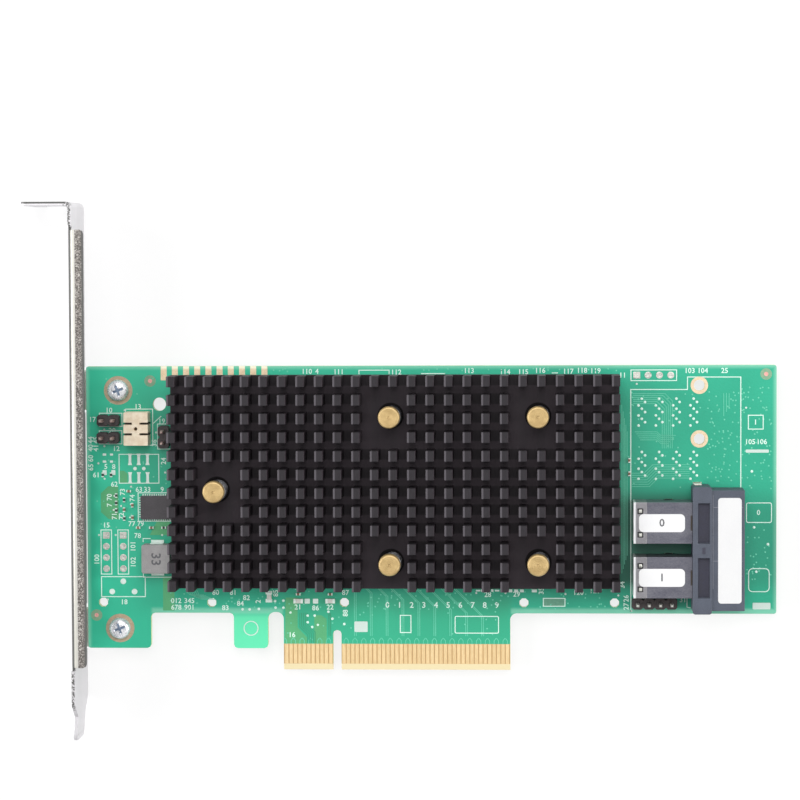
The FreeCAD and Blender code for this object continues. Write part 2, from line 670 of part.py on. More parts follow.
def tab_plan():
    """Plan of the whole bracket as (x, z) corners, with rounded tab corners and screw notch."""
    end = BRACKET_OUTER - TAB_REACH
    notch_x = BRACKET_OUTER - TAB_NOTCH_CENTRE
    half = TAB_NOTCH_WIDTH / 2
    floor = BRACKET_REAR + TAB_NOTCH_DEPTH
    inside = BRACKET_INNER + FLANGE_WIDTH
    return [
        (end, BRACKET_ABOVE_FACE, TAB_CORNER_RADIUS),
        (end, BRACKET_REAR, TAB_CORNER_RADIUS),
        (notch_x - half, BRACKET_REAR, 0),
        (notch_x - half, floor, TAB_NOTCH_RADIUS),
        (notch_x + half, floor, TAB_NOTCH_RADIUS),
        (notch_x + half, BRACKET_REAR, 0),
        (inside, BRACKET_REAR, 0),
        (inside, BRACKET_ABOVE_FACE, 0),
    ]


def stiffening_flange():
    """Flange folded inwards along the component-side edge of the face."""
    root = BRACKET_ABOVE_FACE - BEND_OUTER_RADIUS
    edge = BRACKET_OUTER + FLANGE_WIDTH
    section = [
        (BRACKET_OUTER, root, 0),
        (BRACKET_OUTER, BRACKET_ABOVE_FACE, BEND_OUTER_RADIUS),
        (edge, BRACKET_ABOVE_FACE, 0),
        (edge, BRACKET_ABOVE_FACE - BRACKET_SHEET, 0),
        (BRACKET_INNER, BRACKET_ABOVE_FACE - BRACKET_SHEET, BEND_RADIUS),
        (BRACKET_INNER, root, 0),
    ]
    bar = section_along_y(section, FLANGE_BOTTOM, FLANGE_TOP)
    plan = plate([
        (BRACKET_OUTER - OVERSHOOT, FLANGE_BOTTOM, 0),
        (edge, FLANGE_BOTTOM, FLANGE_CORNER_RADIUS),
        (edge, FLANGE_TOP, FLANGE_CORNER_RADIUS),
        (BRACKET_OUTER - OVERSHOOT, FLANGE_TOP, 0),
    ], root - OVERSHOOT, BEND_OUTER_RADIUS + 2 * OVERSHOOT)
    return bar.common(plan)


def bracket_ear(y):
    """Ear folded from the face to lie flat behind the board, with its screw hole."""
    end = SCREW_X + EAR_WIDTH / 2
    section = [
        (BRACKET_OUTER, 0, 0),
        (BRACKET_OUTER, EAR_BOTTOM, BEND_OUTER_RADIUS),
        (end, EAR_BOTTOM, 0),
        (end, BOARD_REAR, 0),
        (BRACKET_INNER, BOARD_REAR, BEND_RADIUS),
        (BRACKET_INNER, 0, 0),
    ]
    half = EAR_WIDTH / 2
    bar = section_along_y(section, y - half, y + half)
    plan = plate([
        (BRACKET_OUTER - OVERSHOOT, y - half, 0),
        (end, y - half, EAR_CORNER_RADIUS),
        (end, y + half, EAR_CORNER_RADIUS),
        (BRACKET_OUTER - OVERSHOOT, y + half, 0),
    ], EAR_BOTTOM - OVERSHOOT, BRACKET_SHEET + BOARD_THICKNESS + 2 * OVERSHOOT)
    hole = flat_sided(SCREW_X, y, SCREW_DIAMETER + 2 * THREAD_CLEARANCE, EAR_BOTTOM - OVERSHOOT, 0)
    return bar.common(plan).cut(hole)


def bracket_face_cuts():
    """Room for the ears and the flange fold, with a relief notch at each end of a fold."""
    x_low = BRACKET_OUTER - OVERSHOOT
    x_high = BRACKET_INNER + OVERSHOOT
    cuts = []
    for y in SCREW_HEIGHTS.values():
        reach = EAR_WIDTH / 2 + RELIEF_WIDTH
        cuts.append(block(x_low, x_high, y - reach, y + reach, BRACKET_REAR - OVERSHOOT, 0))
    root = BRACKET_ABOVE_FACE - BEND_OUTER_RADIUS
    cuts.append(block(x_low, x_high, FLANGE_BOTTOM - RELIEF_WIDTH, FLANGE_TOP + RELIEF_WIDTH,
                      root, BRACKET_ABOVE_FACE + OVERSHOOT))
    return cuts


def vent_holes():
    """Staggered rows of six-sided vent holes through the face."""
    side_angle = 2 * math.pi / VENT_SIDES
    radius = VENT_ACROSS_FLATS / 2 / math.cos(side_angle / 2)
    row_rise = VENT_PITCH * math.cos(side_angle / 2)
    holes = []
    for row in range(VENT_ROWS):
        z = VENT_MIDDLE_Z + (row - (VENT_ROWS - 1) / 2) * row_rise
        shift = VENT_PITCH / 2 if row % 2 else 0.0
        for column in range(VENT_COLUMNS):
            y = VENT_FIRST_Y + shift + column * VENT_PITCH
            corners = []
            for side in range(VENT_SIDES):
                angle = side_angle * (side + 0.5)
                corners.append((y + radius * math.cos(angle), z + radius * math.sin(angle), 0))
            holes.append(section_along_x(corners, BRACKET_OUTER - OVERSHOOT, BRACKET_INNER + OVERSHOOT))
    return holes


def bracket():
    """Folded sheet bracket: face, tab, flange, two ears and vents."""
    strip = bracket_strip()
    face = section_along_x(bracket_face_outline(), BRACKET_OUTER - TAB_REACH - OVERSHOOT,
                           BRACKET_INNER + OVERSHOOT)
    plan = section_along_y(tab_plan(), BRACKET_TIP - OVERSHOOT, BRACKET_TOP + OVERSHOOT)
    sheet = strip.common(face).common(plan).cut(bracket_face_cuts() + vent_holes())
    ears = [bracket_ear(y) for y in SCREW_HEIGHTS.values()]
    return sheet.fuse([stiffening_flange()] + ears).removeSplitter()


def bracket_screw(y):
    """Pan-head screw that holds the board to an ear, with a cross recess."""
    point = EAR_BOTTOM - SCREW_POINT_BELOW_EAR
    head = flat_sided(SCREW_X, y, SCREW_HEAD_DIAMETER, 0, SCREW_HEAD_HEIGHT, HEAD_SIDES)
    shank = flat_sided(SCREW_X, y, SCREW_DIAMETER, point, 0)
    floor = SCREW_HEAD_HEIGHT - RECESS_DEPTH
    top = SCREW_HEAD_HEIGHT + OVERSHOOT
    slots = [
        centred_block(SCREW_X, y, RECESS_SPAN, RECESS_SLOT, floor, top),
        centred_block(SCREW_X, y, RECESS_SLOT, RECESS_SPAN, floor, top),
    ]
    return head.fuse(shank).cut(slots)


# ---------------------------------------------------------------- twin cable port
def shell_leg_plans(y):
    """Plan rectangles of the two legs of the port shell centred on y."""
    half = SHELL_WIDTH / 2
    x_low = SHELL_REAR_X + (SHELL_LENGTH - SHELL_LEG_WIDTH) / 2
    x_high = x_low + SHELL_LEG_WIDTH
    return [(x_low, x_high, side_low, side_low + SHELL_SHEET)
            for side_low in (y - half, y + half - SHELL_SHEET)]


def clip_plans():
    """Plan rectangles of the two hold-down clips at the ends of the guide."""
    low = PORT_CENTRE_Y - GUIDE_WIDTH / 2
    high = PORT_CENTRE_Y + GUIDE_WIDTH / 2
    return [
        (CLIP_X, CLIP_X + CLIP_WIDTH, low - CLIP_THICKNESS, low),
        (CLIP_X, CLIP_X + CLIP_WIDTH, high, high + CLIP_THICKNESS),
    ]


def port_shell(y):
    """Folded metal shell over a port: top, two sides and two legs through the board."""
    half = SHELL_WIDTH / 2
    shell = block(SHELL_REAR_X, GUIDE_REAR_X, y - half, y + half, 0, SHELL_TOP)
    room = block(SHELL_REAR_X - OVERSHOOT, GUIDE_REAR_X + OVERSHOOT, y - half + SHELL_SHEET,
                 y + half - SHELL_SHEET, -OVERSHOOT, SHELL_TOP - SHELL_SHEET)
    legs = [block(*plan, BOARD_REAR - SHELL_LEG_BELOW_BOARD, 0) for plan in shell_leg_plans(y)]
    return shell.cut(room).fuse(legs).removeSplitter()


def port_cap(y):
    """Rear cap of a port, closed at the back, with two square windows in its top."""
    half = SHELL_WIDTH / 2
    cap = block(PORT_REAR_X, SHELL_REAR_X, y - half, y + half, 0, SHELL_TOP)
    room = block(PORT_REAR_X + SHELL_SHEET, SHELL_REAR_X + OVERSHOOT, y - half + SHELL_SHEET,
                 y + half - SHELL_SHEET, -OVERSHOOT, SHELL_TOP - SHELL_SHEET)
    windows = []
    for side in (-1, 1):
        windows.append(centred_block(PORT_REAR_X + CAP_LENGTH / 2, y + side * CAP_WINDOW_OFFSET, CAP_WINDOW,
                                     CAP_WINDOW, SHELL_TOP - 2 * SHELL_SHEET, SHELL_TOP + OVERSHOOT))
    return cap.cut([room] + windows)


def port_insert(y):
    """Moulded contact carrier that fills the shell and cap, with two slots for the plug's blades."""
    half = SHELL_WIDTH / 2 - SHELL_SHEET
    body = block(PORT_REAR_X + SHELL_SHEET, GUIDE_REAR_X, y - half, y + half, 0, SHELL_TOP - SHELL_SHEET)
    slot_half = INSERT_SLOT_WIDTH / 2
    slots = []
    for level in INSERT_SLOT_LEVELS:
        slots.append(block(GUIDE_REAR_X - INSERT_SLOT_DEPTH, GUIDE_REAR_X + OVERSHOOT, y - slot_half,
                           y + slot_half, level - INSERT_SLOT_HEIGHT / 2, level + INSERT_SLOT_HEIGHT / 2))
    return body.cut(slots)


def port_guide():
    """Moulded guide in front of both ports: raised bar with latch pockets and two open mouths."""
    low = PORT_CENTRE_Y - GUIDE_WIDTH / 2
    high = PORT_CENTRE_Y + GUIDE_WIDTH / 2
    bar = block(GUIDE_REAR_X, GUIDE_BAR_END_X, low, high, 0, GUIDE_BAR_TOP, GUIDE_CORNER_RADIUS)
    front = block(GUIDE_BAR_END_X - OVERSHOOT, GUIDE_FRONT_X, low + GUIDE_FRONT_INSET,
                  high - GUIDE_FRONT_INSET, 0, GUIDE_FRONT_TOP)
    guide = bar.fuse(front).removeSplitter()
    cuts = []
    for y in PORTS.values():
        half = MOUTH_WIDTH / 2
        mouth = rectangle(y - half, y + half, MOUTH_BOTTOM, MOUTH_BOTTOM + MOUTH_HEIGHT, MOUTH_CORNER_RADIUS)
        cuts.append(section_along_x(mouth, GUIDE_REAR_X - OVERSHOOT, GUIDE_FRONT_X + OVERSHOOT))
        pocket_x = GUIDE_REAR_X + LATCH_POCKET_SETBACK
        half_pocket = LATCH_POCKET_WIDTH / 2
        cuts.append(block(pocket_x, pocket_x + LATCH_POCKET_LENGTH, y - half_pocket, y + half_pocket,
                          GUIDE_BAR_TOP - LATCH_POCKET_DEPTH, GUIDE_BAR_TOP + OVERSHOOT))
    return guide.cut(cuts)


def guide_clips():
    """Two plated clips that hold the ends of the guide down through the board."""
    bottom = BOARD_REAR - SHELL_LEG_BELOW_BOARD
    return group([block(*plan, bottom, CLIP_HEIGHT) for plan in clip_plans()])


def port_sticker(y):
    """Rounded sticker on top of a port."""
    start = PORT_REAR_X + PORT_STICKER_SETBACK
    return block(start, start + PORT_STICKER_LENGTH, y - PORT_STICKER_HEIGHT / 2, y + PORT_STICKER_HEIGHT / 2,
                 SHELL_TOP, SHELL_TOP + STICKER_THICKNESS, PORT_STICKER_RADIUS)


def guide_sticker():
    """Long rounded sticker on top of the guide's front."""
    end = GUIDE_FRONT_X - GUIDE_STICKER_SETBACK
    half = GUIDE_STICKER_LENGTH / 2
    return block(end - GUIDE_STICKER_WIDTH, end, PORT_CENTRE_Y - half, PORT_CENTRE_Y + half,
                 GUIDE_FRONT_TOP, GUIDE_FRONT_TOP + STICKER_THICKNESS, GUIDE_STICKER_RADIUS)


# ---------------------------------------------------------------- headers and socket
def header_pins(name):
    """Square pins of a header, from above its body to just behind the board."""
    bottom = BOARD_REAR - HEADER_PIN_BELOW_BOARD
    top = HEADER_BODY_HEIGHT + HEADER_PIN_ABOVE_BODY
    return group([centred_block(x, y, HEADER_PIN, HEADER_PIN, bottom, top)
                  for x, y in header_pin_places(name)])


def header_body(name):
    """Moulded strip of a header: one bevelled block to each pin."""
    half = HEADER_PITCH / 2
    cut = HEADER_BODY_CHAMFER
    blocks = []
    for x, y in header_pin_places(name):
        corners = [
            (x - half + cut, y - half, 0),
            (x + half - cut, y - half, 0),
            (x + half, y - half + cut, 0),
            (x + half, y + half - cut, 0),
            (x + half - cut, y + half, 0),
            (x - half + cut, y + half, 0),
            (x - half, y + half - cut, 0),
            (x - half, y - half + cut, 0),
        ]
        blocks.append(plate(corners, 0, HEADER_BODY_HEIGHT))
    body = blocks[0].fuse(blocks[1:]).removeSplitter()
    holes = [centred_block(x, y, HEADER_PIN, HEADER_PIN, -OVERSHOOT, HEADER_BODY_HEIGHT + OVERSHOOT)
             for x, y in header_pin_places(name)]
    return body.cut(holes)


def socket_slit_plans():
    """Plan rectangles of the four side slits of the cream socket."""
    plans = []
    half_length = SOCKET_LENGTH_X / 2
    for side_y in (-1, 1):
        middle = SOCKET_Y + side_y * SOCKET_SLIT_SPACING / 2
        y_low = middle - SOCKET_SLIT_WIDTH / 2
        y_high = middle + SOCKET_SLIT_WIDTH / 2
        left = SOCKET_X - half_length
        right = SOCKET_X + half_length
        plans.append((left, left + SOCKET_SLIT_LENGTH, y_low, y_high))
        plans.append((right - SOCKET_SLIT_LENGTH, right, y_low, y_high))
    return plans


def cream_socket():
    """Moulded socket with four side slits and a blind hole in the middle of its top."""
    body = centred_block(SOCKET_X, SOCKET_Y, SOCKET_LENGTH_X, SOCKET_LENGTH_Y, 0, SOCKET_HEIGHT,
                         SOCKET_CORNER_RADIUS)
    cuts = []
    for x_low, x_high, y_low, y_high in socket_slit_plans():
        outer_low = x_low - OVERSHOOT if x_low < SOCKET_X - SOCKET_SLIT_LENGTH / 2 else x_low
        outer_high = x_high + OVERSHOOT if x_high > SOCKET_X + SOCKET_SLIT_LENGTH / 2 else x_high
        cuts.append(block(outer_low, outer_high, y_low, y_high, -OVERSHOOT, SOCKET_HEIGHT + OVERSHOOT))
    cuts.append(flat_sided(SOCKET_X, SOCKET_Y, SOCKET_CORE_HOLE_DIAMETER,
                           SOCKET_HEIGHT - SOCKET_CORE_HOLE_DEPTH, SOCKET_HEIGHT + OVERSHOOT))
    return body.cut(cuts)


def socket_contacts():
    """Contact strips that stand in the four slits of the cream socket."""
    strips = []
    for x_low, x_high, y_low, _ in socket_slit_plans():
        strips.append(block(x_low, x_high, y_low, y_low + SOCKET_CONTACT_THICKNESS,
                            0, SOCKET_HEIGHT - SOCKET_CONTACT_DROP))
    return group(strips)


# ---------------------------------------------------------------- other parts on the board
def regulator_chip():
    """Flat power regulator beside the heatsink."""
    return centred_block(REGULATOR_X, REGULATOR_Y, REGULATOR_LENGTH, REGULATOR_WIDTH, 0, REGULATOR_HEIGHT)


def inductor_core():
    """Pressed core of the power inductor."""
    return centred_block(INDUCTOR_X, INDUCTOR_Y, INDUCTOR_LENGTH, INDUCTOR_WIDTH, 0, INDUCTOR_HEIGHT,
                         INDUCTOR_CORNER_RADIUS)


def inductor_straps():
    """Two tinned straps that rise up the ends of the core from their solder feet."""
    straps = []
    half_width = INDUCTOR_WIDTH / 2
    thickness = INDUCTOR_STRAP_THICKNESS
    half_strap = INDUCTOR_STRAP_WIDTH / 2
    for side in (-1, 1):
        face = INDUCTOR_Y + side * half_width
        outer = face + side * thickness
        toe = outer + side * INDUCTOR_STRAP_FOOT
        section = [
            (face, 0, 0),
            (toe, 0, 0),
            (toe, thickness, 0),
            (outer, thickness, 0),
            (outer, INDUCTOR_STRAP_HEIGHT, 0),
            (face, INDUCTOR_STRAP_HEIGHT, 0),
        ]
        straps.append(section_along_x(section, INDUCTOR_X - half_strap, INDUCTOR_X + half_strap))
    return group(straps)


def firmware_flash():
    """Leadless package of the firmware memory under the heatsink."""
    return centred_block(FLASH_X, FLASH_Y, FLASH_LENGTH, FLASH_WIDTH, 0, FLASH_HEIGHT)


def clock_crystal():
    """Metal can of the clock crystal under the heatsink."""
    return centred_block(CRYSTAL_X, CRYSTAL_Y, CRYSTAL_LENGTH, CRYSTAL_WIDTH, 0, CRYSTAL_HEIGHT,
                         CRYSTAL_CORNER_RADIUS)


def chip_parts(size, places):
    """Small two-ended chips of one size, some of them turned on end."""
    length, width, height = size
    chips = []
    for x, y, turned_on_end in places:
        along_x, along_y = (width, length) if turned_on_end else (length, width)
        chips.append(centred_block(x, y, along_x, along_y, 0, height))
    return group(chips)


def rear_capacitors():
    """Block of small capacitors behind the controller."""
    length, width, height = CHIP_CAPACITOR_SIZE
    chips = []
    for column in range(REAR_CAPACITOR_COLUMNS):
        x = CONTROLLER_X + (column - (REAR_CAPACITOR_COLUMNS - 1) / 2) * REAR_CAPACITOR_PITCH
        for row in range(REAR_CAPACITOR_ROWS):
            y = CONTROLLER_Y + (row - (REAR_CAPACITOR_ROWS - 1) / 2) * REAR_CAPACITOR_PITCH
            chips.append(centred_block(x, y, width, length, BOARD_REAR - height, BOARD_REAR))
    return group(chips)


# ---------------------------------------------------------------- nodes
def all_nodes():
    """Every node of the card, by name."""
    nodes = {
        "circuit_board": circuit_board(),
        "edge_contacts_front": edge_contacts(0),
        "edge_contacts_rear": edge_contacts(BOARD_REAR - CONTACT_THICKNESS),
        "top_test_pads": test_pads(),
        "controller_substrate": controller_substrate(),
        "controller_lid": controller_lid(),
        "thermal_pad": thermal_pad(),
        "heatsink": heatsink(),
        "bracket": bracket(),
        "port_guide": port_guide(),
        "guide_clips": guide_clips(),
        "guide_sticker": guide_sticker(),
        "cream_socket": cream_socket(),
        "cream_socket_contacts": socket_contacts(),
        "regulator_chip": regulator_chip(),
        "power_inductor_core": inductor_core(),
        "power_inductor_straps": inductor_straps(),
        "firmware_flash": firmware_flash(),
        "clock_crystal": clock_crystal(),
        "chip_fuses": chip_parts(CHIP_FUSE_SIZE, CHIP_FUSES),
        "chip_capacitors": chip_parts(CHIP_CAPACITOR_SIZE, CHIP_CAPACITORS),
        "chip_resistors": chip_parts(CHIP_RESISTOR_SIZE, CHIP_RESISTORS),
        "rear_capacitors": rear_capacitors(),
    }
    for place, (x, y) in PIN_PLACES.items():
        nodes["heatsink_pin_" + place] = heatsink_pin(x, y)
        nodes["pin_spring_" + place] = pin_spring(x, y)
    for place, y in SCREW_HEIGHTS.items():
        nodes["bracket_screw_" + place] = bracket_screw(y)
    for place, y in PORTS.items():
        nodes["port_shell_" + place] = port_shell(y)
        nodes["port_cap_" + place] = port_cap(y)
        nodes["port_insert_" + place] = port_insert(y)
        nodes["port_sticker_" + place] = port_sticker(y)
    for name in HEADERS:
        nodes[name + "_body"] = header_body(name)
        nodes[name + "_pins"] = header_pins(name)
    return nodes


os.makedirs("parts", exist_ok=True)
for node_name, shape in all_nodes().items():
    shape.exportStep("parts/" + node_name + ".step")
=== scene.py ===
"""Looks of a raid controller card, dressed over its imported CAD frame.

Every length in a dataclass field is in millimetres, in the card's own frame: X runs from the bracket to
the far end, Y from the contact tips to the top edge, and Z out of the component face.
"""

import json
import logging
import math
import random
from dataclasses import dataclass
from enum import Enum
from typing import Callable, Iterable, Sequence

import bmesh
import bpy
from mathutils import Matrix, Vector

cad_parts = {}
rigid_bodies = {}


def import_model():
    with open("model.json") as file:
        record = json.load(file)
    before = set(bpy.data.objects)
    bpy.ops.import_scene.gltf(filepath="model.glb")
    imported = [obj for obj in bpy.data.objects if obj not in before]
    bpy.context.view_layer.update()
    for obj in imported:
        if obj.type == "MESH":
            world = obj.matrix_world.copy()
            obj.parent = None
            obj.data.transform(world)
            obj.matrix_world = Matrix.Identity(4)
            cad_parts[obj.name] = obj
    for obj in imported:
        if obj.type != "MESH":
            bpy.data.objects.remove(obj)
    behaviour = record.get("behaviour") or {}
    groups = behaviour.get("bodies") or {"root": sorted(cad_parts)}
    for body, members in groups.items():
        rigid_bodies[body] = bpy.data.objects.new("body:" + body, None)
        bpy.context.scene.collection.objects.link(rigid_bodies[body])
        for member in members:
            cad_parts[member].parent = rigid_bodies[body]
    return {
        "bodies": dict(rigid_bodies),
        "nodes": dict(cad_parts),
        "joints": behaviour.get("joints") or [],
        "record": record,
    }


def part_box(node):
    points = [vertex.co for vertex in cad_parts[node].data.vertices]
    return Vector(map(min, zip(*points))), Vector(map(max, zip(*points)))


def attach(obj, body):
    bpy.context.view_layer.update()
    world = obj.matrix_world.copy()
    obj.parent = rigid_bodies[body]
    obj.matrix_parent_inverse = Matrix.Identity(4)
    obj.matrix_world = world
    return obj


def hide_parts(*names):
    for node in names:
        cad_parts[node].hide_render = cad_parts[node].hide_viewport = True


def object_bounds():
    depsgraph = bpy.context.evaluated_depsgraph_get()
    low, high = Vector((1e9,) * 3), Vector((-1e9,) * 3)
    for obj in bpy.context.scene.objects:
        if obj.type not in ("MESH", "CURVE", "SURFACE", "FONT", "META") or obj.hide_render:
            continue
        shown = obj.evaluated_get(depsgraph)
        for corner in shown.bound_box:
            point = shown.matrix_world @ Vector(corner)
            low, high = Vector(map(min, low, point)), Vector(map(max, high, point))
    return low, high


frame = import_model()
cad_low, cad_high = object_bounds()

LOG = logging.getLogger("raid_card")
MM = 0.001
BODY = "root"
HEADERS = ("activity", "fault", "service", "console")
Shade = tuple[float, float, float]
Point = tuple[float, float]
Path = tuple[Point, ...]
Socket = bpy.types.NodeSocket
Piece = bpy.types.Object


def mm(*lengths: float) -> Vector:
    """Turns lengths in millimetres into a vector in metres."""
    return Vector([length * MM for length in lengths])


def linear(shade: Shade) -> tuple[float, float, float, float]:
    """Turns a display colour into the linear colour that a shader takes.

    Args:
        shade: red, green and blue from 0 to 255, as they look on a screen.

    Returns:
        Linear red, green, blue and a full alpha.
    """
    channels = [value / 255 for value in shade]
    straight = [c / 12.92 if c <= 0.04045 else ((c + 0.055) / 1.055) ** 2.4 for c in channels]
    return (*straight, 1.0)


class Side(Enum):
    """The two faces of the board."""

    FRONT = 1
    REAR = -1


# ---------------------------------------------------------------- finishes


class Graph:
    """A node tree that is being wired."""

    def __init__(self, tree: bpy.types.NodeTree) -> None:
        """Takes a tree and empties it."""
        self.tree = tree
        tree.nodes.clear()

    def add(self, kind: str, **settings: object) -> bpy.types.Node:
        """Adds a node.

        Args:
            kind: the node's type name.
            **settings: attributes to set on the node.

        Returns:
            The new node.
        """
        node = self.tree.nodes.new(kind)
        for key, value in settings.items():
            setattr(node, key, value)
        return node

    def feed(self, socket: Socket, source: object) -> None:
        """Links a socket to another socket, or sets its value.

        Args:
            socket: the input to feed.
            source: an output socket, a number, a colour or a vector.
        """
        if isinstance(source, Socket):
            self.tree.links.new(source, socket)
        else:
            socket.default_value = source

    def maths(self, operation: str, *sources: object) -> Socket:
        """Adds a Math node.

        Args:
            operation: the operation's name.
            *sources: a socket or a number for each input.

        Returns:
            The result's socket.
        """
        node = self.add("ShaderNodeMath", operation=operation)
        for socket, source in zip(node.inputs, sources):
            self.feed(socket, source)
        return node.outputs[0]

    def mix(self, share: object, first: object, second: object) -> Socket:
        """Mixes two colours.

        Args:
            share: how much of the second colour shows.
            first: the colour or socket at 0.
            second: the colour or socket at 1.

        Returns:
            The mixed colour's socket.
        """
        node = self.add("ShaderNodeMix", data_type="RGBA")
        self.feed(node.inputs[0], share)
        self.feed(node.inputs[6], first)
        self.feed(node.inputs[7], second)
        return node.outputs[2]

    def ramp(self, value: object, low: float, high: float) -> Socket:
        """Rises smoothly from 0 at low to 1 at high.

        Args:
            value: the number to follow.
            low: where the rise starts.
            high: where it ends.

        Returns:
            The rising value's socket.
        """
        node = self.add("ShaderNodeMapRange", interpolation_type="SMOOTHSTEP")
        for index, source in enumerate((value, low, high, 0.0, 1.0)):
            self.feed(node.inputs[index], source)
        return node.outputs[0]

    def times(self, *sources: object) -> Socket:
        """Multiplies numbers by each other.

        Args:
            *sources: two or more sockets or numbers.

        Returns:
            The product's socket.
        """
        product = sources[0]
        for source in sources[1:]:
            product = self.maths("MULTIPLY", product, source)
        return product

    def most(self, first: object, second: object) -> Socket:
        """Gives the larger of two numbers."""
        return self.maths("MAXIMUM", first, second)

    def rest(self, share: object) -> Socket:
        """Gives what a share leaves of one."""
        return self.maths("SUBTRACT", 1.0, share)

    def lay(self, under: Socket, shade: Shade, share: object, strength: float = 1.0) -> Socket:
        """Lays a shade over a colour.

        Args:
            under: the colour that it is laid over.
            shade: the shade to lay.
            share: where it shows.
            strength: how strongly it shows there.

        Returns:
            The covered colour's socket.
        """
        return self.mix(self.times(share, strength) if strength < 1.0 else share, under, linear(shade))


class Effects:
    """The shader node groups that several finishes share, each built once."""

    @staticmethod
    def _group(name: str, inputs: dict[str, str], outputs: dict[str, str]) -> tuple[Graph, dict, dict]:
        """Makes an empty group with named sockets.

        Args:
            name: the group's name.
            inputs: socket name to socket type.
            outputs: socket name to socket type.

        Returns:
            The graph, the inputs by name and the outputs by name.
        """
        tree = bpy.data.node_groups.new(name, "ShaderNodeTree")
        graph = Graph(tree)
        for label, kind in inputs.items():
            tree.interface.new_socket(label, in_out="INPUT", socket_type=kind)
        for label, kind in outputs.items():
            tree.interface.new_socket(label, in_out="OUTPUT", socket_type=kind)
        entry = graph.add("NodeGroupInput")
        leave = graph.add("NodeGroupOutput")
        return graph, {s.name: s for s in entry.outputs}, {s.name: s for s in leave.inputs}

    @classmethod
    def variation(cls) -> bpy.types.NodeTree:
        """Broad patches and fine grain that vary a finish's colour, roughness and height.

        Returns:
            The group's node tree.
        """
        made = bpy.data.node_groups.get("surface_variation")
        if made:
            return made
        floats = ("Patch Size", "Grain Size", "Grain Share", "Rough Low", "Rough High")
        inputs = {"Place": "NodeSocketVector", "Light": "NodeSocketColor", "Dark": "NodeSocketColor"}
        inputs.update({label: "NodeSocketFloat" for label in floats})
        outputs = {"Color": "NodeSocketColor", "Roughness": "NodeSocketFloat", "Height": "NodeSocketFloat"}
        graph, given, out = cls._group("surface_variation", inputs, outputs)
        noises = []
        for label, detail in (("Patch Size", 3.0), ("Grain Size", 2.0)):
            noise = graph.add("ShaderNodeTexNoise")
            graph.feed(noise.inputs["Vector"], given["Place"])
            graph.feed(noise.inputs["Scale"], graph.maths("DIVIDE", 1.0, given[label]))
            graph.feed(noise.inputs["Detail"], detail)
            noises.append(graph.ramp(noise.outputs[0], 0.3, 0.7))
        patches, grain = noises
        share = given["Grain Share"]
        broad = graph.maths("MULTIPLY", patches, graph.maths("SUBTRACT", 1.0, share))
        mask = graph.maths("ADD", broad, graph.maths("MULTIPLY", grain, share))
        graph.feed(out["Color"], graph.mix(mask, given["Dark"], given["Light"]))
        spread = graph.maths("SUBTRACT", given["Rough High"], given["Rough Low"])
        graph.feed(out["Roughness"], graph.maths("MULTIPLY_ADD", mask, spread, given["Rough Low"]))
        graph.feed(out["Height"], grain)
        return graph.tree

    @classmethod
    def band(cls) -> bpy.types.NodeTree:
        """A soft-edged band between two values.

        Returns:
            The group's node tree.
        """
        made = bpy.data.node_groups.get("soft_band")
        if made:
            return made
        inputs = {label: "NodeSocketFloat" for label in ("Value", "Low", "High", "Blur")}
        graph, given, out = cls._group("soft_band", inputs, {"Mask": "NodeSocketFloat"})
        sides = []
        for edge in ("Low", "High"):
            start = graph.maths("MULTIPLY_ADD", given["Blur"], -0.5, given[edge])
            reach = graph.maths("SUBTRACT", given["Value"], start)
            sides.append(graph.ramp(graph.maths("DIVIDE", reach, given["Blur"]), 0.0, 1.0))
        graph.feed(out["Mask"], graph.maths("SUBTRACT", sides[0], sides[1]))
        return graph.tree

    @classmethod
    def weave(cls) -> bpy.types.NodeTree:
        """The glass cloth that shows faintly through a laminate.

        Returns:
            The group's node tree.
        """
        made = bpy.data.node_groups.get("glass_weave")
        if made:
            return made
        inputs = {"Place": "NodeSocketVector", "Pitch": "NodeSocketFloat"}
        graph, given, out = cls._group("glass_weave", inputs, {"Height": "NodeSocketFloat"})
        split = graph.add("ShaderNodeSeparateXYZ")
        graph.feed(split.inputs[0], given["Place"])
        waves = []
        for axis in (0, 1):
            turns = graph.maths("DIVIDE", split.outputs[axis], given["Pitch"])
            waves.append(graph.maths("SINE", graph.maths("MULTIPLY", turns, math.tau)))
        product = graph.maths("MULTIPLY", waves[0], waves[1])
        graph.feed(out["Height"], graph.maths("MULTIPLY_ADD", product, 0.5, 0.5))
        return graph.tree


